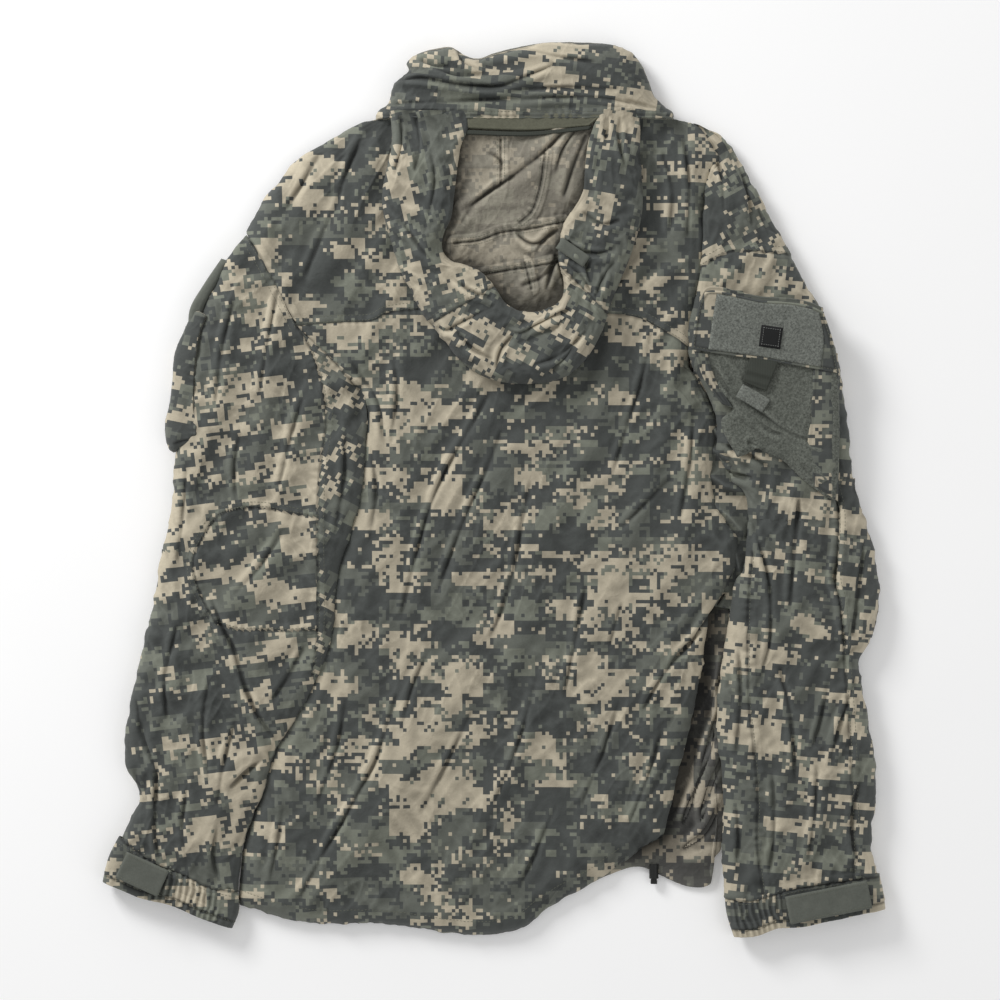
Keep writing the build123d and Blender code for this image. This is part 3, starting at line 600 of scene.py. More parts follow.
def ribbed_cloth(name, colour, pitch=1.6, rough=0.75):
    """Woven webbing or zip tape: ribs across its width, read from Object coordinates."""
    finish, tree, shader = new_finish(name)
    place = add(tree, "ShaderNodeTexCoord").outputs["Object"]
    ribs = add(tree, "ShaderNodeTexWave", {"Vector": place, "Scale": 1.0 / (pitch * MM) / 6.28}).outputs[1]
    fine = cloudy(tree, place, 1.0, 2.0, 0.6, 2.0)
    share = sum_of(tree, "MULTIPLY_ADD", ribs, 0.5, sum_of(tree, "MULTIPLY", fine, 0.5), clamp=True)
    shine = sum_of(tree, "MULTIPLY_ADD", fine, 0.2, rough - 0.1)
    two_tone(tree, shader, share, (colour, 0.75, 1.25), shine, share, 0.6, 0.3)
    return finish


def hard_finish(name, colour, rough, metal=0.0, scratch=0.1):
    """Moulded plastic or coated metal with a fine grain and a little uneven gloss."""
    finish, tree, shader = new_finish(name)
    place = add(tree, "ShaderNodeTexCoord").outputs["Object"]
    grain = cloudy(tree, place, 0.6, 3.0, 0.6, 1.0)
    wide = cloudy(tree, place, 7.0, 2.0, 0.5, 5.0)
    shine = sum_of(tree, "MULTIPLY_ADD", grain, scratch * 2, rough - scratch)
    two_tone(tree, shader, wide, (colour, 0.8, 1.25), shine, grain, 0.15, 0.1)
    shader.inputs["Metallic"].default_value = metal
    return finish


shell = printed_cloth("camouflage_shell")
lining = printed_cloth("hood_lining", 20.0, 0.66, linear(156, 149, 134), 0.9, 0.22)
# The wrong side of the cloth at the front corner: like the hood's inside but darker, with very dark hollows, as painted
# shadow where the corner lies under the back and the sleeve.
inside = printed_cloth("shell_inside", 31.0, 0.3, linear(104, 98, 93), 0.8, 0.12)
grey_cloth = plain_cloth("plain_shell", linear(95, 98, 91), 0.4, 1.8, 0.85)
pile = plain_cloth("loop_pile", linear(109, 112, 106), 2.2, 1.7, 0.95, 0.1, 1.0)
bag_pile = plain_cloth("pocket_pile", linear(96, 99, 92), 2.2, 1.7, 0.95, 0.1, 1.0)
neck_tape = plain_cloth("neck_tape", linear(98, 98, 84), 0.6, 1.6, 0.9)
dark_cloth = plain_cloth("black_cloth", linear(30, 31, 31), 0.3, 0.8, 0.85)
webbing = ribbed_cloth("webbing", linear(60, 63, 57), 0.8)
zip_tape = ribbed_cloth("zip_tape", linear(86, 92, 84), 1.0)
zip_plastic = hard_finish("zip_plastic", linear(92, 98, 88), 0.45)
zip_metal = hard_finish("zip_metal", linear(96, 98, 92), 0.38, 0.8)
lock_plastic = hard_finish("lock_plastic", linear(34, 35, 34), 0.4)
spring_steel = hard_finish("spring_steel", linear(168, 168, 165), 0.3, 1.0)
thread = plain_cloth("thread", linear(112, 114, 100), 0.3, 0.5, 0.8, 0.1, 0.4, use_cut=False)
print("finishes", len(bpy.data.materials))


# %% [markdown]
# ## The outlines
# The edge curves of every panel are listed once, in millimetres, from the collar down. Two panels that
# meet share one curve, so they meet exactly. Where a sleeve lies over the back, the back runs on for a
# few millimetres under it.

# %% Outlines of the torso
NECK = [(-112, 352), (30, 351), (172, 352)]
YOKE_LEFT = [(-112, 352), (-130, 347), (-158, 331), (-189, 312), (-204, 293), (-220, 274), (-236, 243)]
ARMHOLE_LEFT = [(-236, 243), (-220, 218), (-204, 188), (-187, 155)]
YOKE_RIGHT = [(172, 352), (196, 344), (210, 325), (216, 314), (208, 300), (204, 274), (201, 236), (199, 206)]
YOKE_RIGHT += [(194, 180), (190, 158), (188, 132)]
YOKE_SEAM = [(-187, 155), (-146, 158), (-113, 160), (-103, 166), (-60, 171), (20, 172), (100, 167), (139, 162)]
YOKE_SEAM += [(158, 152), (177, 141), (188, 132)]
GUSSET_TOP = [(-187, 155), (-155, 124), (-128, 94)]
BACK_LEFT = [(-128, 94), (-126, 50), (-129, 0), (-140, -45), (-153, -90), (-158, -135)]
BACK_LEFT += [(-177, -190), (-210, -250), (-222, -290), (-238, -340), (-243, -396)]
BACK_RIGHT = [(188, 132), (186, 118), (197, 100), (213, 65), (210, 32), (209, -2), (216, -20), (230, -42)]
BACK_RIGHT += [(234, -58), (229, -82), (218, -101), (207, -120), (202, -145), (199, -170), (193, -201)]
BACK_RIGHT += [(184, -239), (175, -277), (166, -315), (160, -331), (148, -338), (127, -354)]
HEM = [(-243, -396), (-222, -403), (-193, -411), (-155, -415), (-108, -415), (-60, -421), (-32, -425)]
HEM += [(-3, -425), (16, -422), (34, -415), (49, -402), (87, -380), (102, -372), (127, -354)]

# %% Outlines of the sleeves
LEFT_TOP = [(-122, 93), (-150, 121), (-187, 155), (-204, 188), (-220, 218), (-236, 243)]
LEFT_INNER = [(-122, 93), (-120, 55), (-123, 1), (-134, -41), (-146, -77), (-149, -106), (-151, -133)]
LEFT_INNER += [(-158, -161), (-171, -190), (-192, -228), (-206, -250), (-214, -282), (-227, -309)]
LEFT_INNER += [(-237, -339), (-243, -384)]
LEFT_OUTER = [(-236, 243), (-258, 213), (-274, 180), (-284, 150), (-292, 110), (-298, 70), (-304, 27)]
LEFT_OUTER += [(-306, 8), (-310, -30), (-319, -68), (-324, -106), (-333, -144), (-342, -182), (-349, -220)]
LEFT_OUTER += [(-352, -245), (-350, -266), (-341, -280), (-337, -294), (-344, -309), (-356, -332)]
LEFT_END = [(-243, -384), (-269, -379), (-298, -365), (-320, -356), (-341, -343), (-356, -332)]
RIGHT_TOP = [(190, 348), (196, 346), (202, 343)]
RIGHT_INNER = [(190, 348), (205, 327), (211, 315), (205, 303), (200, 274), (198, 236), (196, 210), (190, 180)]
RIGHT_INNER += [(183, 150), (186, 122), (197, 101), (208, 75), (211, 58), (211, 35), (222, 14), (237, -4)]
RIGHT_INNER += [(241, -24), (239, -49), (236, -77), (228, -90), (223, -125), (217, -158), (212, -201)]
RIGHT_INNER += [(211, -233), (215, -265), (217, -300), (216, -353), (219, -389)]
RIGHT_OUTER = [(202, 343), (218, 335), (226, 325), (239, 303), (253, 279), (267, 253), (282, 227), (291, 206)]
RIGHT_OUTER += [(303, 187), (312, 170), (319, 150), (325, 138), (329, 122), (331, 105), (335, 84), (339, 56)]
RIGHT_OUTER += [(343, 8), (348, -11), (360, -49), (366, -87), (367, -106), (365, -125), (359, -146)]
RIGHT_OUTER += [(349, -163), (351, -182), (359, -220), (364, -258), (365, -296), (361, -325), (363, -350)]
RIGHT_OUTER += [(367, -369)]
RIGHT_END = [(219, -389), (239, -392), (255, -389), (282, -381), (310, -376), (339, -372), (367, -369)]


# %% Uneven edges
def uneven(line, seed, amount=1.2, size=13.0):
    """An edge curve with the small dents that folded cloth has."""
    dense = curve(line, 160)
    way = np.gradient(dense, axis=0)
    way /= np.linalg.norm(way, axis=1)[:, None]
    ends = np.minimum(np.arange(160), np.arange(159, -1, -1))[:, None]
    dents = ripple(dense, size, seed, 1.0, 0.0) + 0.5 * ripple(dense, size * 0.4, seed + 1)
    return dense + amount * dents[:, None] * rise(ends, 0, 6) * np.column_stack([-way[:, 1], way[:, 0]])


YOKE_LEFT, LEFT_INNER, LEFT_OUTER = uneven(YOKE_LEFT, 1.0), uneven(LEFT_INNER, 2.0), uneven(LEFT_OUTER, 3.0, 1.7)
RIGHT_INNER, RIGHT_OUTER = uneven(RIGHT_INNER, 4.0), uneven(RIGHT_OUTER, 5.0, 1.7)
BACK_RIGHT, HEM = uneven(BACK_RIGHT, 6.0), uneven(HEM, 7.0, 0.9)

# %% Seam lines that cross the panels
CAP_SEAM_RIGHT = [(196, 210), (208, 217), (225, 225), (239, 225), (263, 224), (284, 222)]
GUSSET_SEAM = [(-187, 155), (-172, 128), (-162, 95), (-159, 67), (-165, 18), (-167, -26), (-167, -134)]
GUSSET_SEAM += [(-172, -180)]
ELBOW_LEFT = [(-262, -128), (-278, -100), (-285, -68), (-278, -51), (-261, -26), (-240, -19), (-215, -19)]
ELBOW_LEFT += [(-189, -24), (-167, -27)]
ELBOW_END_LEFT = [(-262, -128), (-240, -134), (-224, -134), (-195, -135), (-167, -134)]
INNER_SEAM_RIGHT = [(246, -60), (242, -106), (242, -201), (246, -239), (251, -296), (250, -334), (256, -386)]
OUTER_SEAM_RIGHT = [(320, 10), (327, -20), (325, -68), (323, -87), (328, -106), (332, -153), (338, -240)]
OUTER_SEAM_RIGHT += [(342, -368)]

# %% [markdown]
# ## From a settled grid to finished cloth
# After the cloth has settled it is cut into its panels, smoothed, and given what is finer than the
# grid: short creases, and seams. A felled seam is a narrow ditch at the needle, a raised allowance on
# one side, and a line of small puckers where the thread is tight.

# %% Finishing a cloth panel
BACKS_UP = {}  # name of a panel -> its BVH tree, for laying stitches on it


def tree_of(piece):
    mesh = piece.data
    return BVHTree.FromPolygons([v.co for v in mesh.vertices], [p.vertices for p in mesh.polygons])


def seam_shape(points, lines, depth=0.9, allowance=0.5, pucker=0.5, wide=7.0):
    """How much seams lift or sink each point, and how far each point is from the nearest seam."""
    lift, nearest = np.zeros(len(points)), np.full(len(points), 30.0)
    for number, line in enumerate(lines):
        line = np.asarray(line, float)
        low, high = line.min(axis=0)[:2] - 16, line.max(axis=0)[:2] + 16
        near = np.all((points[:, :2] > low) & (points[:, :2] < high), axis=1)
        if not near.any():
            continue
        gap, along, side = beside(points[near], line)
        waves = np.sin(along * 0.62 + 3 * np.sin(along * 0.11 + number)) * np.exp(-((gap / 6.0) ** 2))
        raised = allowance * rise(wide + 1.0 - gap, 0, 1.5) * (side > 0)
        lift[near] += raised + pucker * waves - depth * np.exp(-((gap / 1.4) ** 2))
        nearest[near] = np.minimum(nearest[near], gap)
    return lift, nearest


def facing_up(points, faces):
    """The faces, turned over together if they look down as a whole."""
    a, b, c = (points[faces[:, k]] for k in (0, 1, 2))
    area = ((b - a)[:, 0] * (c - a)[:, 1] - (b - a)[:, 1] * (c - a)[:, 0]).sum()
    return faces if area > 0 else faces[:, ::-1]


def outward(points, faces, tops):
    """Turns the faces of a tube so that its top sheet looks up."""
    return faces if (facing_up(points, faces[tops]) == faces[tops]).all() else faces[:, ::-1]


def crease_noise(points, seed, size=17.0, amount=0.9):
    """Short sharp creases: the ridges of a noise, strong in some places and weak in others."""
    a = ripple(points, size, seed, 3.4, FOLD_ANGLE, 1)
    b = ripple(points, size * 0.6, seed + 9, 1.8, FOLD_ANGLE + 1.2, 1)
    strong = 0.30 + 0.90 * rise(ripple(points, 60.0, seed + 3, 1.2, 0.3, 1), -0.3, 0.4)
    ridge = 1.3 * np.exp(-np.abs(a) / 0.09) + 0.6 * np.exp(-np.abs(b) / 0.12)
    return amount * strong * (ridge - 0.45)


CREASES = []  # sharp creases laid one by one: a line in mm, and its depth


def sharp_creases(points):
    """A narrow valley along each listed crease, with a rounded lip on its right."""
    lift = np.zeros(len(points))
    for line, deep in CREASES:
        line = curve(line, 40)
        near = np.all((points[:, :2] > line.min(axis=0) - 16) & (points[:, :2] < line.max(axis=0) + 16), axis=1)
        if not near.any():
            continue
        gap, along, side = beside(points[near], line)
        wander = 0.75 + 0.35 * np.sin(along * 0.09 + deep * 7)
        ends = np.sin(np.pi * np.clip(along / max(along.max(), 1e-6), 0.001, 0.999)) ** 0.5
        lip = np.where(side < 0, 0.55, 0.15) * np.exp(-(((gap - 5.0) / 3.5) ** 2))
        lift[near] += 1.35 * deep * ends * wander * (lip - np.exp(-((gap / 1.8) ** 2)))
    return lift


def finish_cloth(piece, finish, lines=(), seed=0.0, crease=0.8, depth=0.9, allowance=0.5, shaded=None):
    """Smooths a panel, adds short creases and its seams along the normals, and gives it its finish."""
    subdivide(piece)
    points, normal = points_of(piece), normals_of(piece)
    lift, nearest = seam_shape(points, lines, depth, allowance)
    lift = np.where(normal[:, 2] > 0.1, lift, 0.0)
    lift += crease_noise(points, seed, amount=crease) * (0.4 + 0.6 * rise(nearest, 1, 9))
    lift += np.where(normal[:, 2] > 0.1, sharp_creases(points), 0.0)
    move_points(piece, points + normal * lift[:, None])
    mark_points(piece, "seam", np.where(normal[:, 2] > 0.0, nearest, 30.0))
    mark_hollows(piece, 0.0 if shaded is None else shaded(points))
    piece.data.materials.clear()
    piece.data.materials.append(finish)
    piece.data.shade_smooth()
    BACKS_UP[piece.name] = tree_of(piece)
    return piece


def inside_of(points, outline):
    """Which points lie inside a closed outline."""
    x, y = points[:, 0], points[:, 1]
    inside = np.zeros(len(points), bool)
    poly = np.asarray(outline, float)
    for (x1, y1), (x2, y2) in zip(poly, np.roll(poly, -1, axis=0)):
        crosses = (y1 > y) != (y2 > y)
        at = x1 + (y - y1) * (x2 - x1) / (y2 - y1 + 1e-12)
        inside ^= crosses & (x < at)
    return inside


def cut_out(name, points, faces, flat, keep, shift=(0, 0), turn=0.0):
    """A panel made from some faces of a bigger sheet, with its own place and direction in the print."""
    used, number = np.unique(faces[keep], return_inverse=True)
    c, s = math.cos(turn), math.sin(turn)
    cut = flat[used] @ np.array(((c, s), (-s, c))) + np.array(shift)
    return new_piece(name, points[used], number.reshape(-1, 4), cut)


def cut_panels(panels, sheet, flat, faces, lines, seed, crease=0.8):
    """Cuts a settled sheet into panels: for each its faces, and its place and turn in the print."""
    made = []
    for number, (name, (keep, shift, turn)) in enumerate(panels.items()):
        piece = cut_out(name, sheet, faces, flat, keep, shift, turn)
        made.append(finish_cloth(piece, shell, lines, seed + 3 * number, crease))
        print(name, len(piece.data.polygons), "faces")
    return made


# %% [markdown]
# ## The torso
# The yoke and the back lie on the two fronts. Seen from the side the torso is a low dome that turns
# down sharply at its edges, so its height is a quarter round of the distance from the outline. The
# long folds that anyone would notice are laid in one by one, and the cloth finds the rest by itself.

# %% Torso: shape at rest
BACK_HEIGHT = 22.0
TORSO_COLS, YOKE_ROWS, BACK_ROWS = 132, 62, 172


def joined(one, two, count):
    """Two edge curves end to end as one, shared out by their lengths, with a sharp corner between."""
    long = [np.linalg.norm(np.diff(np.array(c, float), axis=0), axis=1).sum() for c in (one, two)]
    first = int(round(count * long[0] / sum(long)))
    return np.vstack([curve(one, first + 1)[:-1], curve(two, count - first)])


yoke_bottom = curve(YOKE_SEAM, TORSO_COLS)
yoke_plan = coons(
    curve(NECK, TORSO_COLS), yoke_bottom, joined(YOKE_LEFT, ARMHOLE_LEFT, YOKE_ROWS), curve(YOKE_RIGHT, YOKE_ROWS)
)
back_plan = coons(
    yoke_bottom, curve(HEM, TORSO_COLS), joined(GUSSET_TOP, BACK_LEFT, BACK_ROWS), curve(BACK_RIGHT, BACK_ROWS)
)
torso_plan = np.vstack([yoke_plan, back_plan[1:]])


def torso_height(plan):
    """How high the back lies at a place."""
    height = np.full(plan.shape[:-1], BACK_HEIGHT)
    edges = ((YOKE_LEFT, 7, 30), (YOKE_RIGHT, 9, 26), (BACK_LEFT, 5, 34), (HEM, 2.5, 26), (BACK_RIGHT, 5, 26))
    for line, foot, wide in edges:
        height = np.minimum(height, foot + (BACK_HEIGHT - foot) * rounded(gap_to(plan, curve(line, 60)), wide))
    return height


TORSO_FOLDS = [  # line, height, width
    ([(10, 92), (-30, 40), (-52, -13), (-68, -63), (-80, -118)], 5.0, 13),
    ([(22, 60), (-10, -5), (-34, -63), (-55, -113)], 4.0, 11),
    ([(45, 0), (34, -71), (20, -140), (5, -190)], 4.0, 13),
    ([(-82, -180), (-92, -229), (-113, -286), (-148, -343), (-176, -392)], 8.0, 20),
    ([(222, -92), (192, -134), (160, -162), (140, -200)], 6.0, 14),
    ([(120, 150), (90, 60), (60, -20), (40, -60)], 3.0, 16),
    ([(170, 110), (150, 30), (120, -60), (95, -120), (60, -190)], 3.5, 16),
    ([(-150, 140), (-128, 100), (-108, 40), (-104, -20)], 4.0, 12),
    ([(-100, 140), (-90, 80), (-84, 20), (-95, -50)], 3.0, 13),
    ([(190, 60), (180, -20), (165, -80), (130, -130)], 3.5, 14),
    ([(-20, -120), (-40, -190), (-75, -260), (-120, -330)], 3.5, 16),
    ([(60, -150), (30, -220), (-10, -300), (-50, -380)], 3.0, 18),
    ([(150, -210), (120, -270), (90, -320), (60, -380)], 3.5, 14),
    ([(185, -210), (165, -260), (140, -310), (120, -345)], 3.0, 12),
    ([(-110, 330), (-128, 290), (-150, 240), (-175, 200)], 4.0, 13),
    ([(-150, 325), (-175, 285), (-200, 240)], 3.0, 12),
    ([(165, 340), (175, 300), (172, 250), (180, 200)], 3.5, 10),
    ([(185, 335), (192, 290), (188, 240)], 2.5, 8),
]


def rumple(plan, height, folds, seed, size=40.0, amount=2.0, angle=FOLD_ANGLE):
    """The first guess at a wrinkled surface: listed folds and a little seeded noise."""
    patchy = 0.5 + 0.5 * rise(ripple(plan, 90.0, seed + 2.0, 1.2, 0.4, 1), -0.35, 0.45)
    up = amount * ripple(plan, size, seed, 2.6, angle) + amount * 0.4 * ripple(plan, size * 0.45, seed + 4, 2.0, angle)
    up = height + up * patchy
    for line, tall, wide in folds:
        up = up + 1.7 * fold(plan, line, tall, wide)
    return up


torso_base = torso_height(torso_plan)
torso_start = np.dstack([torso_plan, rumple(torso_plan, torso_base, TORSO_FOLDS, 1.0)])
torso_free = np.ones(torso_plan.shape[:2])
torso_free[0] = 0
torso_free[-1] = 0.3
torso_free[:, 0] = torso_free[:, -1] = 0
torso_start[:, 0, 2], torso_start[:, -1, 2] = torso_base[:, 0], torso_base[:, -1]
torso_start[0, :, 2] = torso_base[0]
torso_cut = spare_cloth(np.dstack([torso_plan, torso_base]), 0.020, 0.008)
torso = settle(torso_start, torso_cut, torso_free, torso_base - 4.0, steps=26, bend=0.2)
HOOD_SPACE = [(-98, 360), (-104, 272), (-89, 208), (-46, 140), (14, 100), (63, 104), (107, 160), (142, 274)]
HOOD_SPACE += [(139, 360)]
under_hood = inside_of(torso_plan.reshape(-1, 2), HOOD_SPACE).reshape(torso_plan.shape[:2])
depth = gap_to(torso_plan, HOOD_SPACE) * under_hood
torso[..., 2] = np.minimum(torso[..., 2], 29.0 - 6.0 * rise(depth, 0, 14))
print("torso wrinkles", np.ptp(torso[..., 2]).round(1), "mm from lowest to highest")

# %% Torso: yoke and back
CREASES = [
    ([(-4, 92), (-28, 48), (-44, 20), (-59, -13), (-74, -63), (-88, -120)], 3.6),
    ([(8, 56), (-8, 16), (-21, -13), (-41, -63), (-58, -113)], 3.0),
    ([(35, 8), (27, -30), (20, -71), (6, -120), (-4, -142)], 3.0),
    ([(88, -88), (80, -130), (66, -201)], 2.6),
    ([(122, -108), (116, -128), (110, -150)], 2.2),
    ([(170, 12), (146, -12), (120, -38)], 2.2),
    ([(-92, -196), (-103, -229), (-112, -258), (-127, -286), (-143, -315), (-160, -343), (-184, -388)], 3.8),
    ([(222, -98), (191, -142), (172, -162), (153, -190), (142, -210)], 4.0),
    ([(-60, -150), (-78, -190), (-88, -230)], 2.4),
    ([(40, -180), (24, -240), (0, -300)], 2.2),
    ([(120, -200), (104, -250), (84, -300)], 2.4),
    ([(160, -230), (146, -275), (128, -320)], 2.6),
    ([(-20, -210), (-44, -260), (-70, -310)], 2.2),
    ([(-118, 40), (-112, 0), (-118, -50)], 2.4),
    ([(-96, 130), (-92, 90), (-98, 40)], 2.4),
    ([(150, 150), (140, 100), (124, 50), (112, 10)], 2.2),
    ([(190, 70), (186, 20), (176, -30)], 2.6),
    ([(-135, 120), (-112, 84), (-104, 40)], 2.2),
    ([(-125, 335), (-140, 300), (-152, 262)], 2.6),
    ([(-165, 320), (-182, 290), (-200, 262)], 2.4),
    ([(180, 335), (186, 290), (184, 240)], 2.6),
    ([(160, 320), (170, 280), (166, 240)], 2.0),
    ([(-150, 270), (-168, 230), (-182, 196)], 2.2),
    ([(60, -300), (40, -345), (22, -385)], 2.2),
    ([(-200, -300), (-206, -340), (-214, -380)], 2.4),
    ([(-140, -200), (-150, -250), (-168, -300)], 2.4),
]
torso_points, torso_flat = torso.reshape(-1, 3), torso_plan.reshape(-1, 2)
torso_faces = facing_up(torso_points, grid_faces(YOKE_ROWS + BACK_ROWS - 1, TORSO_COLS))
face_row = torso_faces.min(axis=1) // TORSO_COLS
is_yoke = face_row < YOKE_ROWS - 1
TORSO_SEAMS = [YOKE_SEAM, ARMHOLE_LEFT, GUSSET_TOP]
yoke = cut_out("back_yoke_cloth", torso_points, torso_faces, torso_flat, is_yoke, (310, 620))
back = cut_out("back_panel_cloth", torso_points, torso_faces, torso_flat, ~is_yoke)
for piece, seed in ((yoke, 2.0), (back, 3.0)):
    finish_cloth(piece, shell, [curve(line, 60) for line in TORSO_SEAMS], seed)
    print(piece.name, len(piece.data.polygons), "faces")

# %% [markdown]
# ## The sleeves
# A sleeve is a tube that has been laid flat: a wide rumpled sheet on top, a plain one below, and a
# rounded fold down each side. It lies a little higher than the back beside it. Its seams are drawn on
# it, and the faces between them become the sleeve's own panels.


# %% Sleeve tubes
def tube(inner, outer, top, end, rows, cols, under=18):
    """The plan of a flattened tube: a top sheet, then an under sheet back from the outer edge."""
    plan = patch(top, end, inner, outer, cols, rows)
    back = plan[:, np.linspace(cols - 1, 0, under + 2).round().astype(int)[1:-1]]
    return plan, np.concatenate([plan, back], axis=1)


def flat_cut(plan, around):
    """Where each point of a tube was cut: the under sheet lies beside the top one."""
    cut = around.copy()
    cut[:, plan.shape[1] :, 0] = 900 - around[:, plan.shape[1] :, 0]
    return cut


def sleeve_height(plan, inner, outer, side, crown, wide):
    """How high the top of a flattened tube lies."""
    gap = gap_to(plan, curve(inner, 120), curve(outer, 120))
    room = np.linalg.norm(plan[:, 0] - plan[:, -1], axis=1)[:, None]
    tall = np.minimum(crown, side + 0.38 * room)
    return side + (tall - side) * rounded(gap, np.minimum(wide, room * 0.45 + 1e-6))


def lay_sleeve(plan, around, high, folds, seed, first):
    """Settles the top sheet of a sleeve, gathered at the cuff, and closes it with its under sheet."""
    start = np.dstack([plan, rumple(plan, high, folds, seed, 30.0, 2.4)])
    to_cuff = gap_to(plan, plan[-1])
    across = np.cumsum(np.linalg.norm(np.diff(plan[-1], axis=0, prepend=plan[-1][:1]), axis=1))[None]
    gathered = np.sin(across * 2 * math.pi / 10.5 + 2.2 * ripple(plan, 30.0, seed + 8))
    start[..., 2] += 2.6 * gathered * np.exp(-to_cuff / 16.0) - 5.0 * np.exp(-to_cuff / 9.0)
    start[:, 0, 2], start[:, -1, 2] = high[:, 0], high[:, -1]
    start[0, :, 2] = first
    free = held_all_round(plan)
    free[-1] = 0.3
    cut = spare_cloth(np.dstack([plan, high]), 0.026, 0.014)
    top = settle(start, cut, free, high - 6.0, steps=24, bend=0.15)
    cols = plan.shape[1]
    below = around[:, cols:]
    gap = gap_to(below, plan[:, 0], plan[:, -1])
    side = high[:, -1:] * 0.5 + high[:, :1] * 0.5
    low = side - (side - 1.0) * rounded(gap, 12.0) + 0.5 * ripple(below, 22.0, seed + 6.0)
    return np.concatenate([top, np.dstack([below, np.maximum(low, 0.6)])], axis=1)


def sleeve_mesh(sleeve, plan, around):
    """A settled sleeve's points, their cut, its faces, which faces are on top, and the middles of all."""
    cols = around.shape[1]
    points, flat = sleeve.reshape(-1, 3), flat_cut(plan, around).reshape(-1, 2)
    faces = grid_faces(len(plan), cols, around=True)
    on_top = (faces % cols).max(axis=1) < plan.shape[1]
    faces = outward(points, faces, on_top)
    return points, flat, faces, on_top, points[faces].mean(axis=1)


# %% Left sleeve
L_ROWS, L_COLS = 190, 66
left_plan, left_around = tube(LEFT_INNER, LEFT_OUTER, LEFT_TOP, LEFT_END, L_ROWS, L_COLS)
left_first = torso_height(left_plan[:1])[0]
left_high = sleeve_height(left_plan, LEFT_INNER, LEFT_OUTER, 8.0, 28.0, 30.0)
near_top = 1 - rise(gap_to(left_plan, curve(LEFT_TOP, 60)), 0, 60)
left_high = left_high * (1 - near_top) + np.maximum(left_first[None], torso_height(left_plan)) * near_top
left_high[0] = left_first
LEFT_FOLDS = [
    ([(-269, -100), (-258, -130), (-246, -153), (-236, -187), (-222, -218), (-206, -240)], 8.0, 16),
    ([(-205, -255), (-225, -262), (-240, -275), (-252, -292)], 6.0, 12),
    ([(-300, -200), (-310, -260), (-318, -320), (-318, -350)], -5.0, 8),
    ([(-330, -190), (-338, -235), (-330, -270)], 5.0, 9),
    ([(-150, 60), (-160, 0), (-168, -60), (-160, -120)], 4.0, 11),
    ([(-205, 190), (-215, 130), (-225, 60), (-230, 0)], 5.0, 14),
    ([(-250, 170), (-262, 110), (-268, 50)], 4.0, 11),
    ([(-180, 100), (-195, 50), (-205, -5)], 4.0, 12),
    ([(-290, -30), (-300, -80), (-296, -130)], 4.5, 12),
    ([(-200, -50), (-225, -85), (-255, -108)], 4.5, 11),
    ([(-180, -140), (-205, -175), (-225, -205)], -4.0, 10),
    ([(-275, -170), (-285, -230), (-280, -300), (-290, -350)], 6.0, 13),
    ([(-250, -300), (-262, -340), (-268, -372)], 5.0, 9),
    ([(-320, -130), (-312, -170), (-300, -200)], 4.0, 10),
]
left_sleeve = lay_sleeve(left_plan, left_around, left_high, LEFT_FOLDS, 20.0, left_first)
print("left sleeve", left_sleeve.shape)

# %% Bunched cloth under the right arm
BUNCH_LEFT = [(190, 112), (200, 70), (200, 30), (202, -10), (214, -50), (208, -112)]
BUNCH_RIGHT = [(216, 108), (236, 66), (246, 24), (254, -20), (250, -60), (234, -116)]
bunch_plan = patch([(190, 112), (216, 108)], [(208, -112), (234, -116)], BUNCH_LEFT, BUNCH_RIGHT, 30, 120)
BUNCH_FOLDS = [
    ([(204, 40), (222, 28), (244, 22)], 7.0, 7),
    ([(202, 16), (220, 2), (240, -4)], 6.0, 6),
    ([(206, -14), (224, -26), (240, -46)], 6.0, 7),
    ([(216, -44), (230, -62), (236, -84)], 4.0, 6),
    ([(200, 66), (214, 52), (230, 46)], 5.0, 6),
]
bunch = np.dstack([bunch_plan, np.maximum(rumple(bunch_plan, 7.0, BUNCH_FOLDS, 35.0, 14.0, 1.8, -0.6), 2.5)])
bunch_piece = new_piece(
    "side_panel_right_cloth", bunch.reshape(-1, 3), facing_up(bunch.reshape(-1, 3), grid_faces(120, 30)),
    bunch_plan.reshape(-1, 2) + (640, 20),
)
finish_cloth(bunch_piece, shell, (), 36.0)

# %% Right sleeve
R_ROWS, R_COLS = 240, 52
right_plan, right_around = tube(RIGHT_INNER, RIGHT_OUTER, RIGHT_TOP, RIGHT_END, R_ROWS, R_COLS)
right_high = sleeve_height(right_plan, RIGHT_INNER, RIGHT_OUTER, 9.0, 28.0, 30.0)
RIGHT_FOLDS = [
    ([(212, 320), (226, 280), (228, 240)], 4.0, 9),
    ([(240, 290), (252, 250), (262, 210)], 4.0, 11),
    ([(204, 27), (225, 18), (244, 12)], 6.0, 8),
    ([(208, 45), (235, 38), (262, 26)], 5.0, 8),
    ([(238, -20), (262, -60), (270, -110), (262, -160)], 6.0, 13),
    ([(330, 20), (318, -40), (312, -90), (318, -150)], 6.0, 14),
    ([(352, -60), (344, -110), (336, -150)], 5.0, 9),
    ([(300, 0), (290, -60), (286, -120)], -4.0, 10),
    ([(350, -190), (335, -230), (322, -280), (316, -340)], 5.0, 12),
    ([(232, -150), (236, -210), (232, -270)], 4.0, 9),
    ([(270, -180), (284, -240), (290, -300), (286, -360)], 6.0, 13),
    ([(262, -250), (268, -300), (262, -360)], -4.0, 8),
    ([(346, -270), (340, -320), (350, -360)], 4.0, 8),
    ([(225, -300), (232, -340), (230, -380)], 4.0, 8),
]
right_sleeve = lay_sleeve(right_plan, right_around, right_high, RIGHT_FOLDS, 40.0, right_high[0])
print("right sleeve", right_sleeve.shape)

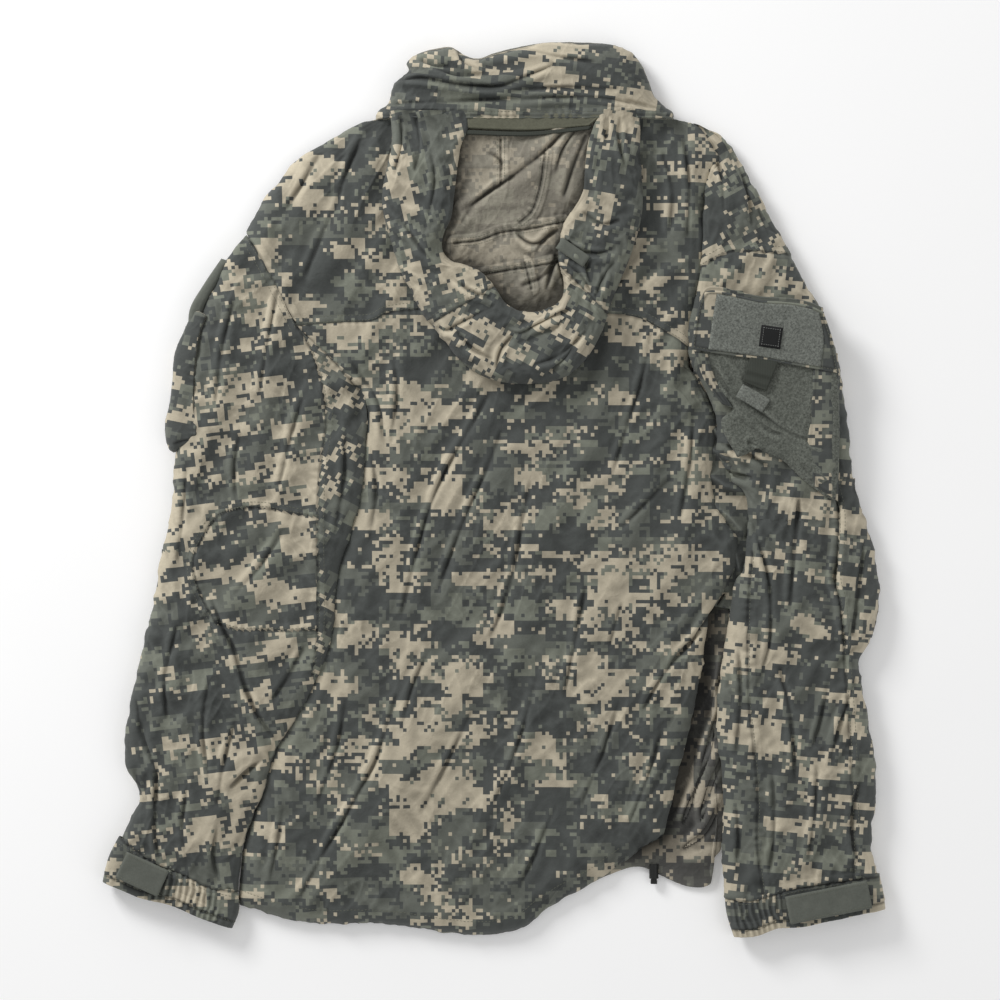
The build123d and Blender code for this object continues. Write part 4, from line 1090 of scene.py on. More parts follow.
# %% Sleeve panels
CREASES = [
    ([(-268, -104), (-258, -130), (-246, -153), (-236, -187), (-222, -218), (-206, -240)], 4.2),
    ([(-218, -256), (-236, -270), (-250, -284)], 3.4),
    ([(-320, -262), (-321, -296), (-322, -320), (-318, -352)], 3.6),
    ([(-205, 190), (-214, 140), (-222, 90)], 2.6),
    ([(-246, 180), (-258, 130), (-264, 80)], 2.6),
    ([(-180, 90), (-192, 50), (-204, 0)], 2.6),
    ([(-240, 60), (-246, 20), (-244, -14)], 2.4),
    ([(-140, 60), (-142, 10), (-150, -40)], 2.4),
    ([(-292, 20), (-296, -30), (-300, -70)], 2.6),
    ([(-200, -40), (-222, -74), (-246, -100)], 2.6),
    ([(-180, -150), (-196, -180), (-210, -200)], 3.0),
    ([(-300, -130), (-312, -180), (-310, -220)], 2.8),
    ([(-270, -180), (-276, -230), (-270, -280)], 3.0),
    ([(-245, -220), (-256, -262), (-262, -300)], 2.6),
    ([(-290, -280), (-296, -320), (-292, -352)], 2.6),
    ([(-340, -200), (-332, -240), (-322, -262)], 3.0),
    ([(-262, -320), (-266, -350), (-262, -372)], 2.6),
]
left_points, left_flat, left_faces, on_top, middle = sleeve_mesh(left_sleeve, left_plan, left_around)
elbow_outline = np.vstack([curve(ELBOW_LEFT, 50), curve(ELBOW_END_LEFT, 20)[::-1]])
gusset_outline = np.vstack([curve(GUSSET_SEAM, 60), [(-90, -180), (-90, 120), (-150, 121)]])
in_elbow = inside_of(middle, elbow_outline) & on_top
in_gusset = inside_of(middle, gusset_outline) & on_top & ~in_elbow
upper = (middle[:, 1] > -60) & ~in_elbow & ~in_gusset
LEFT_SEAMS = [ARMHOLE_LEFT, GUSSET_TOP, GUSSET_SEAM, ELBOW_LEFT, ELBOW_END_LEFT, LEFT_END]
left_lines = [curve(line, 60) for line in LEFT_SEAMS]
left_parts = {
    "sleeve_gusset_left_cloth": (in_gusset, (150, -240), 0.5),
    "elbow_patch_left_cloth": (in_elbow, (900, 330), -0.12),
    "sleeve_upper_left_cloth": (upper, (400, -190), -0.12),
    "sleeve_lower_left_cloth": (~(upper | in_elbow | in_gusset), (430, -160), -0.12),
}
cut_panels(left_parts, left_points, left_flat, left_faces, left_lines, 60.0)

CREASES = [
    ([(206, 326), (216, 300), (218, 262)], 2.8),
    ([(232, 312), (242, 280), (246, 246)], 2.4),
    ([(250, 270), (262, 240)], 2.2),
    ([(328, -6), (325, -68), (323, -87), (328, -106), (334, -153)], 3.8),
    ([(244, -30), (260, -80), (262, -140), (254, -180)], 3.2),
    ([(206, 24), (226, 14), (246, 10)], 3.4),
    ([(212, 44), (238, 34), (262, 20)], 3.4),
    ([(290, -10), (284, -70), (280, -120)], 2.8),
    ([(352, -50), (346, -100), (340, -140)], 2.8),
    ([(345, -178), (330, -220), (318, -262)], 3.2),
    ([(272, -170), (282, -220), (286, -280)], 2.8),
    ([(232, -150), (234, -200), (230, -250)], 2.6),
    ([(306, -260), (304, -310), (298, -352)], 2.6),
    ([(346, -280), (340, -320), (346, -356)], 2.8),
    ([(264, -270), (266, -320), (262, -366)], 2.8),
    ([(228, -290), (232, -330), (230, -372)], 2.4),
    ([(318, -180), (310, -220), (300, -250)], 2.4),
]
right_points, right_flat, right_faces, on_top, middle = sleeve_mesh(right_sleeve, right_plan, right_around)
cap = np.vstack([curve(CAP_SEAM_RIGHT, 30), [(330, 222), (330, 380), (150, 380), (150, 210)]])
elbow_right = np.vstack([curve(OUTER_SEAM_RIGHT, 60)[:26], [(400, -130), (400, 10)]])
in_cap = inside_of(middle, cap)
in_elbow = inside_of(middle, elbow_right) & on_top & ~in_cap
upper = (middle[:, 1] > -30) & ~in_cap & ~in_elbow
right_lines = [curve(line, 60) for line in (CAP_SEAM_RIGHT, INNER_SEAM_RIGHT, OUTER_SEAM_RIGHT, RIGHT_END)]
right_parts = {
    "shoulder_right_cloth": (in_cap, (620, -400), -0.5),
    "elbow_patch_right_cloth": (in_elbow, (-500, 300), 0.1),
    "sleeve_upper_right_cloth": (upper, (-320, 210), 0.08),
    "sleeve_lower_right_cloth": (~(upper | in_elbow | in_cap), (-320, 210), 0.08),
}
cut_panels(right_parts, right_points, right_flat, right_faces, right_lines, 80.0)

# %% [markdown]
# ## The cuffs
# A cuff is a short flat tube with its hem at the open end. A run of elastic sewn inside gathers one
# part of it into close ribs, and a plain tab closes the other part.


# %% Cuffs
CREASES = []


def cuff(name, edges, cols, seed, gathers, lines, shift, rows=26, side=10.0, crown=22.0, round_off=13.0):
    """A short flattened tube with a wall. Its last row is the open end; `gathers` is where elastic pulls it in."""
    top, bottom, left, right = edges
    plan = patch(top, bottom, left, right, cols, rows)
    high = side + (crown - side) * rounded(gap_to(plan, plan[:, 0], plan[:, -1]), round_off)
    high += 0.8 * ripple(plan, 20.0, seed, 1.5, math.radians(70))
    start, stop, pitch, deep = gathers
    across = np.linspace(0, 1, cols)[None] * np.linalg.norm(plan[0, 0] - plan[0, -1])
    wander = 1.6 * ripple(plan, 14.0, seed + 5)
    share = rise(plan[..., 0], start - 4, start + 4) * (1 - rise(plan[..., 0], stop - 4, stop + 4))
    down = np.linspace(0, 1, rows)[:, None]
    high += deep * share * np.sin((across + wander) * 2 * math.pi / pitch) * (0.55 + 0.45 * np.sin(math.pi * down))
    high[:, 0] = high[:, -1] = side
    below = plan[:, np.linspace(cols - 1, 0, 24).round().astype(int)[1:-1]]
    low = side - (side - 1.6) * rounded(gap_to(below, plan[:, 0], plan[:, -1]), 9.0)
    points = np.concatenate([np.dstack([plan, high]), np.dstack([below, low])], axis=1)
    flat = flat_cut(plan, np.concatenate([plan, below], axis=1))
    wide = points.shape[1]
    faces = grid_faces(rows, wide, around=True)
    faces = outward(points.reshape(-1, 3), faces, (faces % wide).max(axis=1) < cols)
    piece = new_piece(name, points.reshape(-1, 3), faces, flat.reshape(-1, 2) + shift)
    return finish_cloth(wall_of(piece, 1.1), shell, lines, seed, crease=0.35)


LEFT_CUFF_TOP = [(-357, -330), (-341, -340), (-320, -353), (-298, -362), (-269, -376), (-243, -382)]
LEFT_CUFF_HEM = [(-373, -374), (-355, -381), (-336, -389), (-307, -396), (-279, -408), (-248, -419)]
RIGHT_CUFF_TOP = [(219, -386), (239, -389), (255, -386), (282, -378), (310, -373), (339, -369), (368, -366)]
RIGHT_CUFF_HEM = [(228, -427), (251, -425), (270, -418), (291, -417), (320, -411), (348, -405), (374, -400)]


def shifted(line, dx, dy):
    return [(x + dx, y + dy) for x, y in line]


LEFT_HEM_SEAM, RIGHT_HEM_SEAM = shifted(LEFT_CUFF_HEM, 2, 7), shifted(RIGHT_CUFF_HEM, -1, 7)
left_sides = [(-357, -330), (-367, -350), (-373, -374)], [(-243, -382), (-241, -400), (-248, -419)]
cuff_left = cuff(
    "cuff_left_cloth", (LEFT_CUFF_TOP, LEFT_CUFF_HEM, *left_sides), 110, 101.0, (-335, -262, 5.6, 1.5),
    [curve(LEFT_HEM_SEAM, 40), curve(LEFT_END, 40)], (500, 100),
)
right_sides = [(219, -386), (221, -404), (228, -427)], [(368, -366), (372, -384), (374, -400)]
cuff_right = cuff(
    "cuff_right_cloth", (RIGHT_CUFF_TOP, RIGHT_CUFF_HEM, *right_sides), 120, 111.0, (226, 274, 5.6, 1.6),
    [curve(RIGHT_HEM_SEAM, 40), curve(RIGHT_END, 40)], (-420, -300),
)
print("cuffs", len(cuff_left.data.polygons), len(cuff_right.data.polygons), "faces")

# %% [markdown]
# ## Flat parts sewn on
# Tabs, hook and loop fields and the black square are slabs of cloth one to two millimetres thick. Each
# is a closed grid with its rim rounded and its face a little uneven, with a line of sewing inside the
# rim.


# %% Slabs of cloth
def corners(line, *more):
    """Four straight edges from four corners: top left, top right, bottom right, bottom left."""
    a, b, c, d = [np.array(p, float) for p in (line, *more)]
    return [a, b], [d, c], [a, d], [b, c]


SLABS = []  # names of the pieces that slab() has made


def rim_walls(rows, cols):
    """Faces that join the rims of two grids of one size, the second stored after the first."""
    ring = [*range(cols), *(i * cols + cols - 1 for i in range(1, rows))]
    ring += [*((rows - 1) * cols + j for j in range(cols - 2, -1, -1)), *(i * cols for i in range(rows - 2, 0, -1))]
    ring, following, count = np.array(ring), np.roll(ring, -1), rows * cols
    return np.stack([ring, following, following + count, ring + count], -1)


def slab(name, edges, low, high, cols, rows, finish, seed=0.0, sew=2.5, crown=0.0, wave=0.45, rim=1.0, shift=(0, 0)):
    """A closed slab between two heights. `low` and `high` are numbers or functions of the plan."""
    plan = patch(*edges, cols, rows)
    flat = plan.reshape(-1, 2)
    gap = gap_to(plan, plan[0], plan[-1], plan[:, 0], plan[:, -1])
    bottom = low(plan) if callable(low) else np.full(plan.shape[:2], float(low))
    top = high(plan) if callable(high) else np.full(plan.shape[:2], float(high))
    thick = top - bottom
    bend = wave * ripple(plan, 16.0, seed, 1.3, 0.4)
    face = bottom + thick * (0.45 + 0.55 * rounded(gap, rim)) + crown * rise(gap, 0, 14) + bend
    if sew:
        face -= 0.35 * np.exp(-(((gap - sew) / 0.7) ** 2))
    back = bottom + bend + thick * 0.25 * (1 - rounded(gap, rim))
    front_points = np.dstack([plan, face]).reshape(-1, 3)
    back_points = np.dstack([plan, back]).reshape(-1, 3)
    faces, count = facing_up(front_points, grid_faces(rows, cols)), rows * cols
    points, cut = np.vstack([front_points, back_points]), np.vstack([flat, flat + 300]) + shift
    piece = new_piece(name, points, np.vstack([faces, faces[:, ::-1] + count, rim_walls(rows, cols)]), cut)
    look_outward(piece, len(faces))
    piece.data.materials.append(finish)
    away = np.abs(gap - sew) if sew else np.full(gap.shape, 30.0)
    mark_points(piece, "seam", np.concatenate([away.ravel(), np.full(count, 30.0)]))
    mark_hollows(piece, rounds=5)
    BACKS_UP[name] = tree_of(piece)
    SLABS.append(name)
    return piece


def band_corners(start, stop, width):
    """The corners of a straight band between the middles of its two ends."""
    a, b = np.array(start, float), np.array(stop, float)
    d = (b - a) / np.linalg.norm(b - a)
    n = np.array((-d[1], d[0])) * width / 2
    return corners(a + n, b + n, b - n, a - n)


# %% Cuff tabs with their hook and loop
TABS = {  # the line of each tab from its sewn end, and how much of it has hook
    "left": ((-352.5, -358.5), (-312.8, -376.8), 0.86),
    "right": ((279.5, -401.0), (357.0, -385.5), 0.45),
}
tab_ends = {}
for side, (start, stop, hooked) in TABS.items():
    low, high = box_of(f"cuff_tab_{side}")
    a, b = np.array(start, float), np.array(stop, float)
    middle = (low + high)[:2] / 2
    a, b = tab_ends[side] = a - (a + b) / 2 + middle, b - (a + b) / 2 + middle
    cols = int(np.linalg.norm(b - a) / 1.6)
    slab(f"cuff_loop_{side}_pile", band_corners(a, b, 25), 24.6, 27.4, cols, 18, pile, 121.0, 1.8)
    hook = band_corners(a, a + (b - a) * hooked, 23)
    slab(f"cuff_hook_{side}_pile", hook, 27.7, 29.2, cols, 18, pile, 123.0, 1.8)
    slab(f"cuff_tab_{side}_cloth", band_corners(a, b, 27), 29.3, 31.0, cols, 18, grey_cloth, 125.0, wave=0.9)
print("cuff tabs", SLABS)

# %% [markdown]
# ## The collar
# The collar has flopped over towards the hood and creased along its length. It is one closed piece: an
# upper face with two long creases, and a face below it.

# %% Collar
CREASES = [
    ([(-96, 389), (-70, 389), (-41, 384), (-13, 381), (6, 381), (28, 389), (58, 402)], 4.5),
    ([(-108, 364), (-51, 367), (30, 370), (101, 370), (166, 359)], 2.6),
    ([(-72, 408), (-56, 402), (-40, 400)], 2.6),
    ([(-34, 417), (-28, 406), (-12, 397)], 3.0),
    ([(30, 418), (60, 410), (96, 404)], 2.2),
    ([(0, 376), (60, 380), (120, 378)], 2.2),
    ([(-60, 398), (-30, 392), (-6, 394)], 2.6),
]
COLLAR_TOP = [(-77, 412), (-65, 417), (-51, 420), (-41, 421), (-35, 418), (-26, 412), (-14, 410), (0, 415)]
COLLAR_TOP += [(20, 420), (49, 425), (92, 425), (113, 423), (132, 416)]
COLLAR_LEFT = [(-77, 412), (-83, 405), (-81, 398), (-93, 387), (-97, 378), (-99, 368), (-112, 356), (-112, 351)]
COLLAR_RIGHT = [(132, 416), (141, 404), (148, 388), (154, 373), (164, 363), (171, 357), (172, 351)]
COLLAR_BOTTOM = [(-112, 351), (30, 350), (172, 351)]
C_COLS, C_ROWS = 150, 44
collar_plan = patch(COLLAR_TOP, COLLAR_BOTTOM, COLLAR_LEFT, COLLAR_RIGHT, C_COLS, C_ROWS)
edge_top = gap_to(collar_plan, curve(COLLAR_TOP, 90))
edge_side = gap_to(collar_plan, curve(COLLAR_LEFT, 40), curve(COLLAR_RIGHT, 40))
collar_high = 8 + 24 * rounded(np.minimum(edge_top * 1.1, edge_side), 26.0)
COLLAR_FOLDS = [
    ([(-98, 389), (-70, 389), (-41, 384), (-13, 381), (6, 381), (28, 389), (58, 402)], -8.0, 6),
    ([(-90, 380), (-41, 372), (0, 371), (40, 378), (80, 392)], 5.0, 9),
    ([(-109, 363), (-51, 366), (30, 369), (101, 369), (168, 358)], -4.0, 5),
    ([(-70, 410), (-50, 404), (-30, 396)], 4.0, 7),
    ([(-20, 405), (10, 402), (50, 408)], 5.0, 9),
    ([(60, 410), (100, 400), (130, 385)], 4.0, 12),
    ([(-30, 416), (-24, 404), (-10, 398)], -4.0, 5),
]
collar_start = np.dstack([collar_plan, rumple(collar_plan, collar_high, COLLAR_FOLDS, 131.0, 26.0, 1.6, 0.1)])
for edge in (np.s_[0, :], np.s_[-1, :], np.s_[:, 0], np.s_[:, -1]):
    collar_start[edge][..., 2] = collar_high[edge]
collar_start[-1, :, 2] = 31.0 - 22 * (1 - rounded(edge_side[-1], 24.0))
collar_cut = spare_cloth(np.dstack([collar_plan, collar_high]), 0.02, 0.01, 0.1)
collar_top = settle(collar_start, collar_cut, held_all_round(collar_plan), collar_high - 8.0, steps=14, bend=0.15)
collar_under = 8 - 3 * rounded(np.minimum(edge_top, edge_side), 10.0)
slider_low, slider_high = box_of("zip_slider")
to_slider = np.abs(collar_plan[..., 0] - (slider_low[0] + slider_high[0]) / 2) - (slider_high[0] - slider_low[0]) / 2
over_slider = (1 - rise(to_slider, 2, 9)) * rise(collar_plan[..., 1], 351, 354)
tunnel = over_slider * rise(np.minimum(edge_top, edge_side), 0, 6)
collar_under += np.maximum(slider_high[2] + 1.2 - collar_under, 0) * tunnel
collar_low = np.dstack([collar_plan, collar_under])


def closed_sheet(name, upper, lower, flat, finish, lines=(), seed=0.0, shift=(0, 0), turn=0.0, **more):
    """An upper and a lower grid with the same edge, joined there into one closed piece."""
    rows, cols = upper.shape[:2]
    faces = facing_up(upper.reshape(-1, 3), grid_faces(rows, cols))
    count = rows * cols
    points = np.vstack([upper.reshape(-1, 3), lower.reshape(-1, 3)])
    rim = np.zeros((rows, cols), bool)
    rim[0] = rim[-1] = rim[:, 0] = rim[:, -1] = True
    below = faces[:, ::-1] + count
    on_rim = np.flatnonzero(rim.ravel())
    if np.allclose(points[on_rim], points[on_rim + count], atol=0.05):
        number = np.arange(2 * count)
        number[on_rim + count] = on_rim
        below = number[below]
        walls = np.zeros((0, 4), int)
    else:
        walls = rim_walls(rows, cols)
    c, s = math.cos(turn), math.sin(turn)
    cut = np.vstack([flat.reshape(-1, 2), flat.reshape(-1, 2) + 300]) @ np.array(((c, s), (-s, c)))
    piece = new_piece(name, points, np.vstack([faces, below, walls]), cut + shift)
    look_outward(piece, len(faces))
    return finish_cloth(piece, finish, lines, seed, **more)


collar = closed_sheet(
    "collar_cloth", collar_top, collar_low, collar_plan, shell, [curve([(-104, 354), (30, 353), (165, 354)], 40)],
    133.0, (120, 500), 0.1, crease=0.6,
)
print("collar", len(collar.data.polygons), "faces")

# %% [markdown]
# ## The hood
# The hood is spread open behind the neck. Its edge has rolled into a thick soft band that goes down
# one side, round the crown and up the other, and its paler inside shows in the middle. The band is
# one long grid that follows two curves, an outer and an inner one; it rounds down at the outer one
# and tucks under at the inner one.

# %% Hood band
CREASES = [
    ([(-58, 154), (-46, 149), (-30, 157), (-8, 168), (4, 174)], 2.6),
    ([(12, 150), (25, 146), (44, 156), (74, 170)], 5.0),
    ([(66, 236), (84, 220), (92, 192)], 4.5),
    ([(64, 216), (78, 206), (94, 184)], 4.0),
    ([(72, 228), (98, 222), (116, 228)], 3.6),
    ([(84, 262), (102, 250), (120, 254)], 3.2),
    ([(-88, 354), (-87, 330), (-94, 296)], 3.4),
    ([(-74, 354), (-71, 326), (-74, 300)], 3.0),
    ([(-62, 330), (-56, 290), (-66, 240)], 2.4),
    ([(120, 352), (119, 330), (124, 306)], 3.2),
    ([(109, 352), (106, 330)], 2.6),
    ([(-84, 250), (-70, 228), (-56, 214)], 3.0),
    ([(2, 112), (8, 132), (20, 146)], 3.6),
    ([(38, 116), (62, 126), (88, 148)], 3.0),
    ([(52, 108), (72, 128), (84, 152)], 2.8),
    ([(-36, 150), (-20, 132), (0, 122)], 2.6),
    ([(96, 180), (104, 200), (116, 216)], 2.8),
    ([(-40, 200), (-20, 186), (-2, 180)], 2.6),
]
HOOD_OUTER = [(-98, 358), (-96, 322), (-104, 293), (-106, 272), (-102, 250), (-95, 227), (-89, 208), (-79, 189)]
HOOD_OUTER += [(-70, 170), (-58, 154), (-46, 140), (-36, 126), (-22, 114), (-6, 105), (14, 100), (44, 100)]
HOOD_OUTER += [(63, 104), (77, 112), (87, 122), (99, 141), (107, 160), (113, 179), (119, 194), (128, 215)]
HOOD_OUTER += [(135, 236), (141, 260), (142, 274), (141, 293), (139, 322), (139, 358)]
HOOD_INNER = [(-24, 358), (-24, 340), (-30, 326), (-33, 308), (-37, 274), (-40, 256), (-47, 240), (-48, 226)]
HOOD_INNER += [(-40, 216), (-26, 212), (-10, 204), (2, 190), (12, 176), (28, 168), (48, 170), (64, 180)]
HOOD_INNER += [(66, 198), (61, 217), (63, 236), (67, 253), (76, 266), (84, 280), (86, 300), (89, 326), (95, 345)]
HOOD_INNER += [(101, 358)]
H_ALONG, H_ACROSS, H_UNDER = 230, 46, 12


def hood_pairs():
    """Matching points on the outer and inner curve of the band, from one neck end to the other."""
    pairs = [(0, 0), (2, 3), (4, 5), (5, 6), (6, 8), (7, 9), (8, 10), (9, 11), (12, 12), (14, 13), (15, 14)]
    pairs += [(17, 15), (19, 16), (21, 17), (23, 18), (25, 19), (26, 20), (27, 22), (28, 23), (29, 25)]
    outer, inner = np.array(HOOD_OUTER, float), np.array(HOOD_INNER, float)
    knots = np.array(pairs, float)
    step = np.r_[0, np.cumsum(np.linalg.norm(np.diff(outer[knots[:, 0].astype(int)], axis=0), axis=1))]
    at = np.linspace(0, step[-1], H_ALONG)
    out_dense, in_dense = curve(HOOD_OUTER, 600), curve(HOOD_INNER, 600)

    def shares(line, dense, which):
        spots = []
        for k in which:
            spots.append(np.argmin(np.linalg.norm(dense - line[int(k)], axis=1)) / (len(dense) - 1))
        return np.array(spots)

    out_share = np.interp(at, step, shares(outer, out_dense, knots[:, 0]))
    in_share = np.interp(at, step, shares(inner, in_dense, knots[:, 1]))
    index = np.arange(600) / 599
    one = np.column_stack([np.interp(out_share, index, out_dense[:, k]) for k in (0, 1)])
    two = np.column_stack([np.interp(in_share, index, in_dense[:, k]) for k in (0, 1)])
    return one, two, at


outer, inner, along = hood_pairs()
t = np.linspace(0, 1, H_ACROSS)[None, :, None]
band_plan = outer[:, None] * (1 - t) + inner[:, None] * t
width = np.linalg.norm(outer - inner, axis=1)
across = width[:, None] * t[..., 0]
crown_share = rise(300 - band_plan[:, :1, 1], 20, 180)
peak = 38.0 + 8.0 * crown_share
band_high = np.minimum(
    23.0 + (peak - 23.0) * rounded(across, 15.0), 30.0 + (peak - 30.0) * rounded(width[:, None] - across, 11.0)
)
neck_end = rise(band_plan[..., 1], 318, 352)
to_edge = np.minimum(across, width[:, None] - across)
band_high = band_high * (1 - neck_end) + (26.0 + 6.0 * rounded(to_edge, 9.0)) * neck_end
band_space = np.dstack([np.repeat(along[:, None], H_ACROSS, 1), across])
rolls = 2.6 * ripple(band_space, 14.0, 141.0, 5.0, 0.0) + 1.6 * ripple(band_space, 9.0, 143.0, 2.2, 0.5)
cross_folds = 2.2 * ripple(band_space, 16.0, 145.0, 2.6, 1.25)
HOOD_FOLDS = [
    ([(-60, 152), (-46, 147), (-30, 156), (-8, 168), (6, 172)], -4.0, 3.5),
    ([(11, 150), (25, 146), (44, 156), (73, 170)], -10.0, 5),
    ([(20, 176), (44, 178), (66, 192)], 4.0, 5),
    ([(2, 108), (6, 130), (16, 148)], -6.0, 6),
    ([(70, 236), (84, 218), (90, 196)], -7.0, 5),
    ([(66, 214), (80, 206), (92, 186)], -6.0, 4),
    ([(76, 226), (100, 222), (114, 226)], -5.0, 4),
    ([(88, 262), (102, 252), (118, 252)], -4.0, 4),
    ([(94, 280), (110, 268), (120, 262)], 4.0, 6),
    ([(-88, 352), (-86, 330), (-92, 300)], -5.0, 4),
    ([(-74, 352), (-70, 326), (-72, 300)], -4.0, 4),
    ([(-60, 340), (-52, 290), (-60, 240), (-72, 215)], 4.0, 9),
    ([(118, 340), (114, 300), (118, 262)], 4.0, 8),
    ([(98, 320), (96, 290), (90, 270)], 3.0, 6),
    ([(-84, 252), (-70, 226), (-52, 214)], 4.0, 8),
    ([(40, 118), (60, 124), (86, 146)], 4.0, 7),
    ([(56, 110), (70, 128), (80, 150)], -3.5, 4),
    ([(124, 352), (122, 335), (126, 315)], -4.0, 3.5),
    ([(110, 352), (108, 335)], -3.5, 3.5),
]
edge_share = rise(to_edge, 0, 8)
band_start = np.dstack([band_plan, band_high + (rolls + cross_folds) * edge_share])
for line, tall, wide in HOOD_FOLDS:
    band_start[..., 2] += 1.4 * fold(band_plan, line, tall, wide) * edge_share
band_cut = np.dstack([band_plan * 1.03, band_high])
band_top = settle(band_start, band_cut, held_all_round(band_plan), band_high - 11.0, steps=10, bend=0.12)
inward = (outer - inner) / np.maximum(width[:, None], 1.0)
tuck = np.linspace(0, 1, H_UNDER + 1)[None, 1:, None]
under_inner = inner[:, None] + inward[:, None] * tuck * 12.0
under_inner = np.dstack([under_inner, 30.0 - 3.5 * rounded(tuck[..., 0] * 12.0, 6.0) + 0 * under_inner[..., 0]])
band_all = np.concatenate([band_top, under_inner], axis=1)
band_flat = np.concatenate([band_plan, 2 * band_plan[:, -1:] - under_inner[..., :2]], axis=1)
band_points, band_uv = band_all.reshape(-1, 3), band_flat.reshape(-1, 2)
band_faces = facing_up(band_points, grid_faces(H_ALONG, H_ACROSS + H_UNDER))
row = band_faces.min(axis=1) // (H_ACROSS + H_UNDER)
left_seam = int(np.argmin(np.linalg.norm(outer - (-60, 156), axis=1)))
right_seam = int(np.argmin(np.linalg.norm(outer - (108, 166), axis=1)))
hood_lines = [np.array([outer[seam], inner[seam]]) for seam in (left_seam, right_seam)]
hood_parts = {
    "hood_side_left_cloth": (row < left_seam, (100, 40), 1.35),
    "hood_crown_cloth": ((row >= left_seam) & (row < right_seam), (300, 60), 0.5),
    "hood_side_right_cloth": (row >= right_seam, (700, 900), 1.75),
}
cut_panels(hood_parts, band_points, band_uv, band_faces, hood_lines, 150.0, 0.7)

# %% [markdown]
# ## The inside of the hood
# The inside is the wrong side of the same cloth, where the print shows through only faintly. Wide
# taped seams cross it, and soft folds run from the neck down to the rolled edge.

# %% Hood lining
CREASES = [
    ([(74, 346), (46, 318), (12, 292), (-32, 262)], 2.6),
    ([(88, 336), (76, 306), (66, 276)], 3.0),
    ([(80, 344), (66, 322), (58, 298)], 2.6),
    ([(8, 302), (6, 312), (-6, 320)], 2.0),
    ([(62, 246), (50, 238), (40, 224)], 2.8),
    ([(20, 244), (36, 232), (50, 236)], 2.6),
    ([(62, 218), (48, 202), (26, 192)], 3.0),
    ([(60, 222), (54, 204), (50, 188)], 2.6),
    ([(58, 224), (66, 206), (70, 190)], 2.6),
    ([(-32, 250), (-20, 268), (4, 290)], 2.2),
]
LINING_SEAMS = [
    [(49, 317), (44, 284), (36, 262), (25, 252)],
    [(-37, 233), (-13, 236), (6, 243), (35, 247), (66, 253)],
    [(-10, 203), (16, 208), (44, 212), (62, 217)],
    [(7, 331), (7, 290)],
    [(30, 214), (36, 190)],
]
lining_plan = patch(
    [(-42, 357), (34, 358), (108, 357)], [(-62, 206), (-30, 188), (0, 158), (40, 150), (78, 166), (88, 196)],
    [(-42, 357), (-48, 320), (-54, 280), (-62, 245), (-62, 206)],
    [(108, 357), (103, 320), (100, 285), (86, 245), (88, 196)], 96, 120,
)
lining_base = 26.0 + 2.5 * rise(np.abs(lining_plan[..., 0] - 22), 25, 60)
LINING_FOLDS = [
    ([(70, 345), (44, 318), (10, 292), (-30, 262)], 7.0, 12),
    ([(92, 330), (74, 300), (66, 272)], 5.0, 8),
    ([(80, 340), (62, 322), (56, 300)], -3.0, 6),
    ([(-30, 300), (-8, 296), (8, 304), (4, 318)], 5.0, 7),
    ([(-34, 268), (-10, 258), (20, 262), (50, 270)], 4.0, 8),
    ([(62, 246), (48, 236), (40, 226)], 5.0, 6),
    ([(20, 240), (34, 230), (50, 234)], -2.5, 5),
    ([(0, 226), (22, 224), (44, 228)], 2.5, 7),
    ([(60, 214), (44, 200), (24, 192)], 5.0, 7),
    ([(66, 222), (56, 206), (50, 190)], -3.0, 4),
    ([(-20, 330), (-14, 300), (-24, 270)], -2.5, 6),
]
lining_start = np.dstack([lining_plan, rumple(lining_plan, lining_base, LINING_FOLDS, 161.0, 24.0, 1.5, 0.9)])
lining_cut = spare_cloth(np.dstack([lining_plan, lining_base]), 0.02, 0.012, 0.9)
lining_floor = np.maximum(lining_base - 4.0, 24.0)
lining_sheet = settle(lining_start, lining_cut, held_all_round(lining_plan), lining_floor, steps=16, bend=0.12)
lining_piece = new_piece(
    "hood_lining_cloth", lining_sheet.reshape(-1, 3),
    facing_up(lining_sheet.reshape(-1, 3), grid_faces(*lining_plan.shape[:2])), lining_plan.reshape(-1, 2) + (70, 33),
)


def under_the_roll(points):
    """The shade under the rolled edge, stronger low down where the crown hangs over."""
    gap = gap_to(points, curve(HOOD_INNER, 90))
    return (1.3 + 0.9 * rise(250 - points[:, 1], 0, 70)) * np.exp(-gap / 10.0) - 0.15


finish_cloth(
    lining_piece, lining, [curve(line, 40) for line in LINING_SEAMS], 165.0, crease=0.6, allowance=1.0, depth=1.4,
    shaded=under_the_roll,
)


def strip_edges(top, bottom):
    """The four edges of a strip from its top and bottom lines, straight at both ends."""
    return top, bottom, [top[0], bottom[0]], [top[-1], bottom[-1]]


band_edges = strip_edges([(-26, 356), (34, 357), (106, 356)], [(-26, 341), (34, 339), (90, 343)])
slab("hood_neck_band_cloth", band_edges, 24.5, 29.5, 80, 12, neck_tape, 167.0, 3.0, shift=(40, 300))
binding_edges = strip_edges([(-27, 340), (34, 338.5), (94, 344)], [(-28, 335.5), (34, 334), (91, 340)])
slab("hood_neck_binding_cloth", binding_edges, 26.0, 30.6, 80, 8, webbing, 168.0, 1.6)
slab("hood_cinch_tab_cloth", band_corners((62, 232), (88, 214), 12), 40.5, 43.0, 20, 10, grey_cloth, 169.0, 1.5)
print("hood", [round(v / MM, 1) for v in lining_piece.dimensions])

# %% [markdown]
# ## The right sleeve pocket
# A bag of dull pile cloth with a printed strip down its outer side, bunched at the bottom where the
# sleeve turns. Its flap is one printed slab with a large loop field, a black square under a small
# cover, and a short tab of webbing that holds it shut.

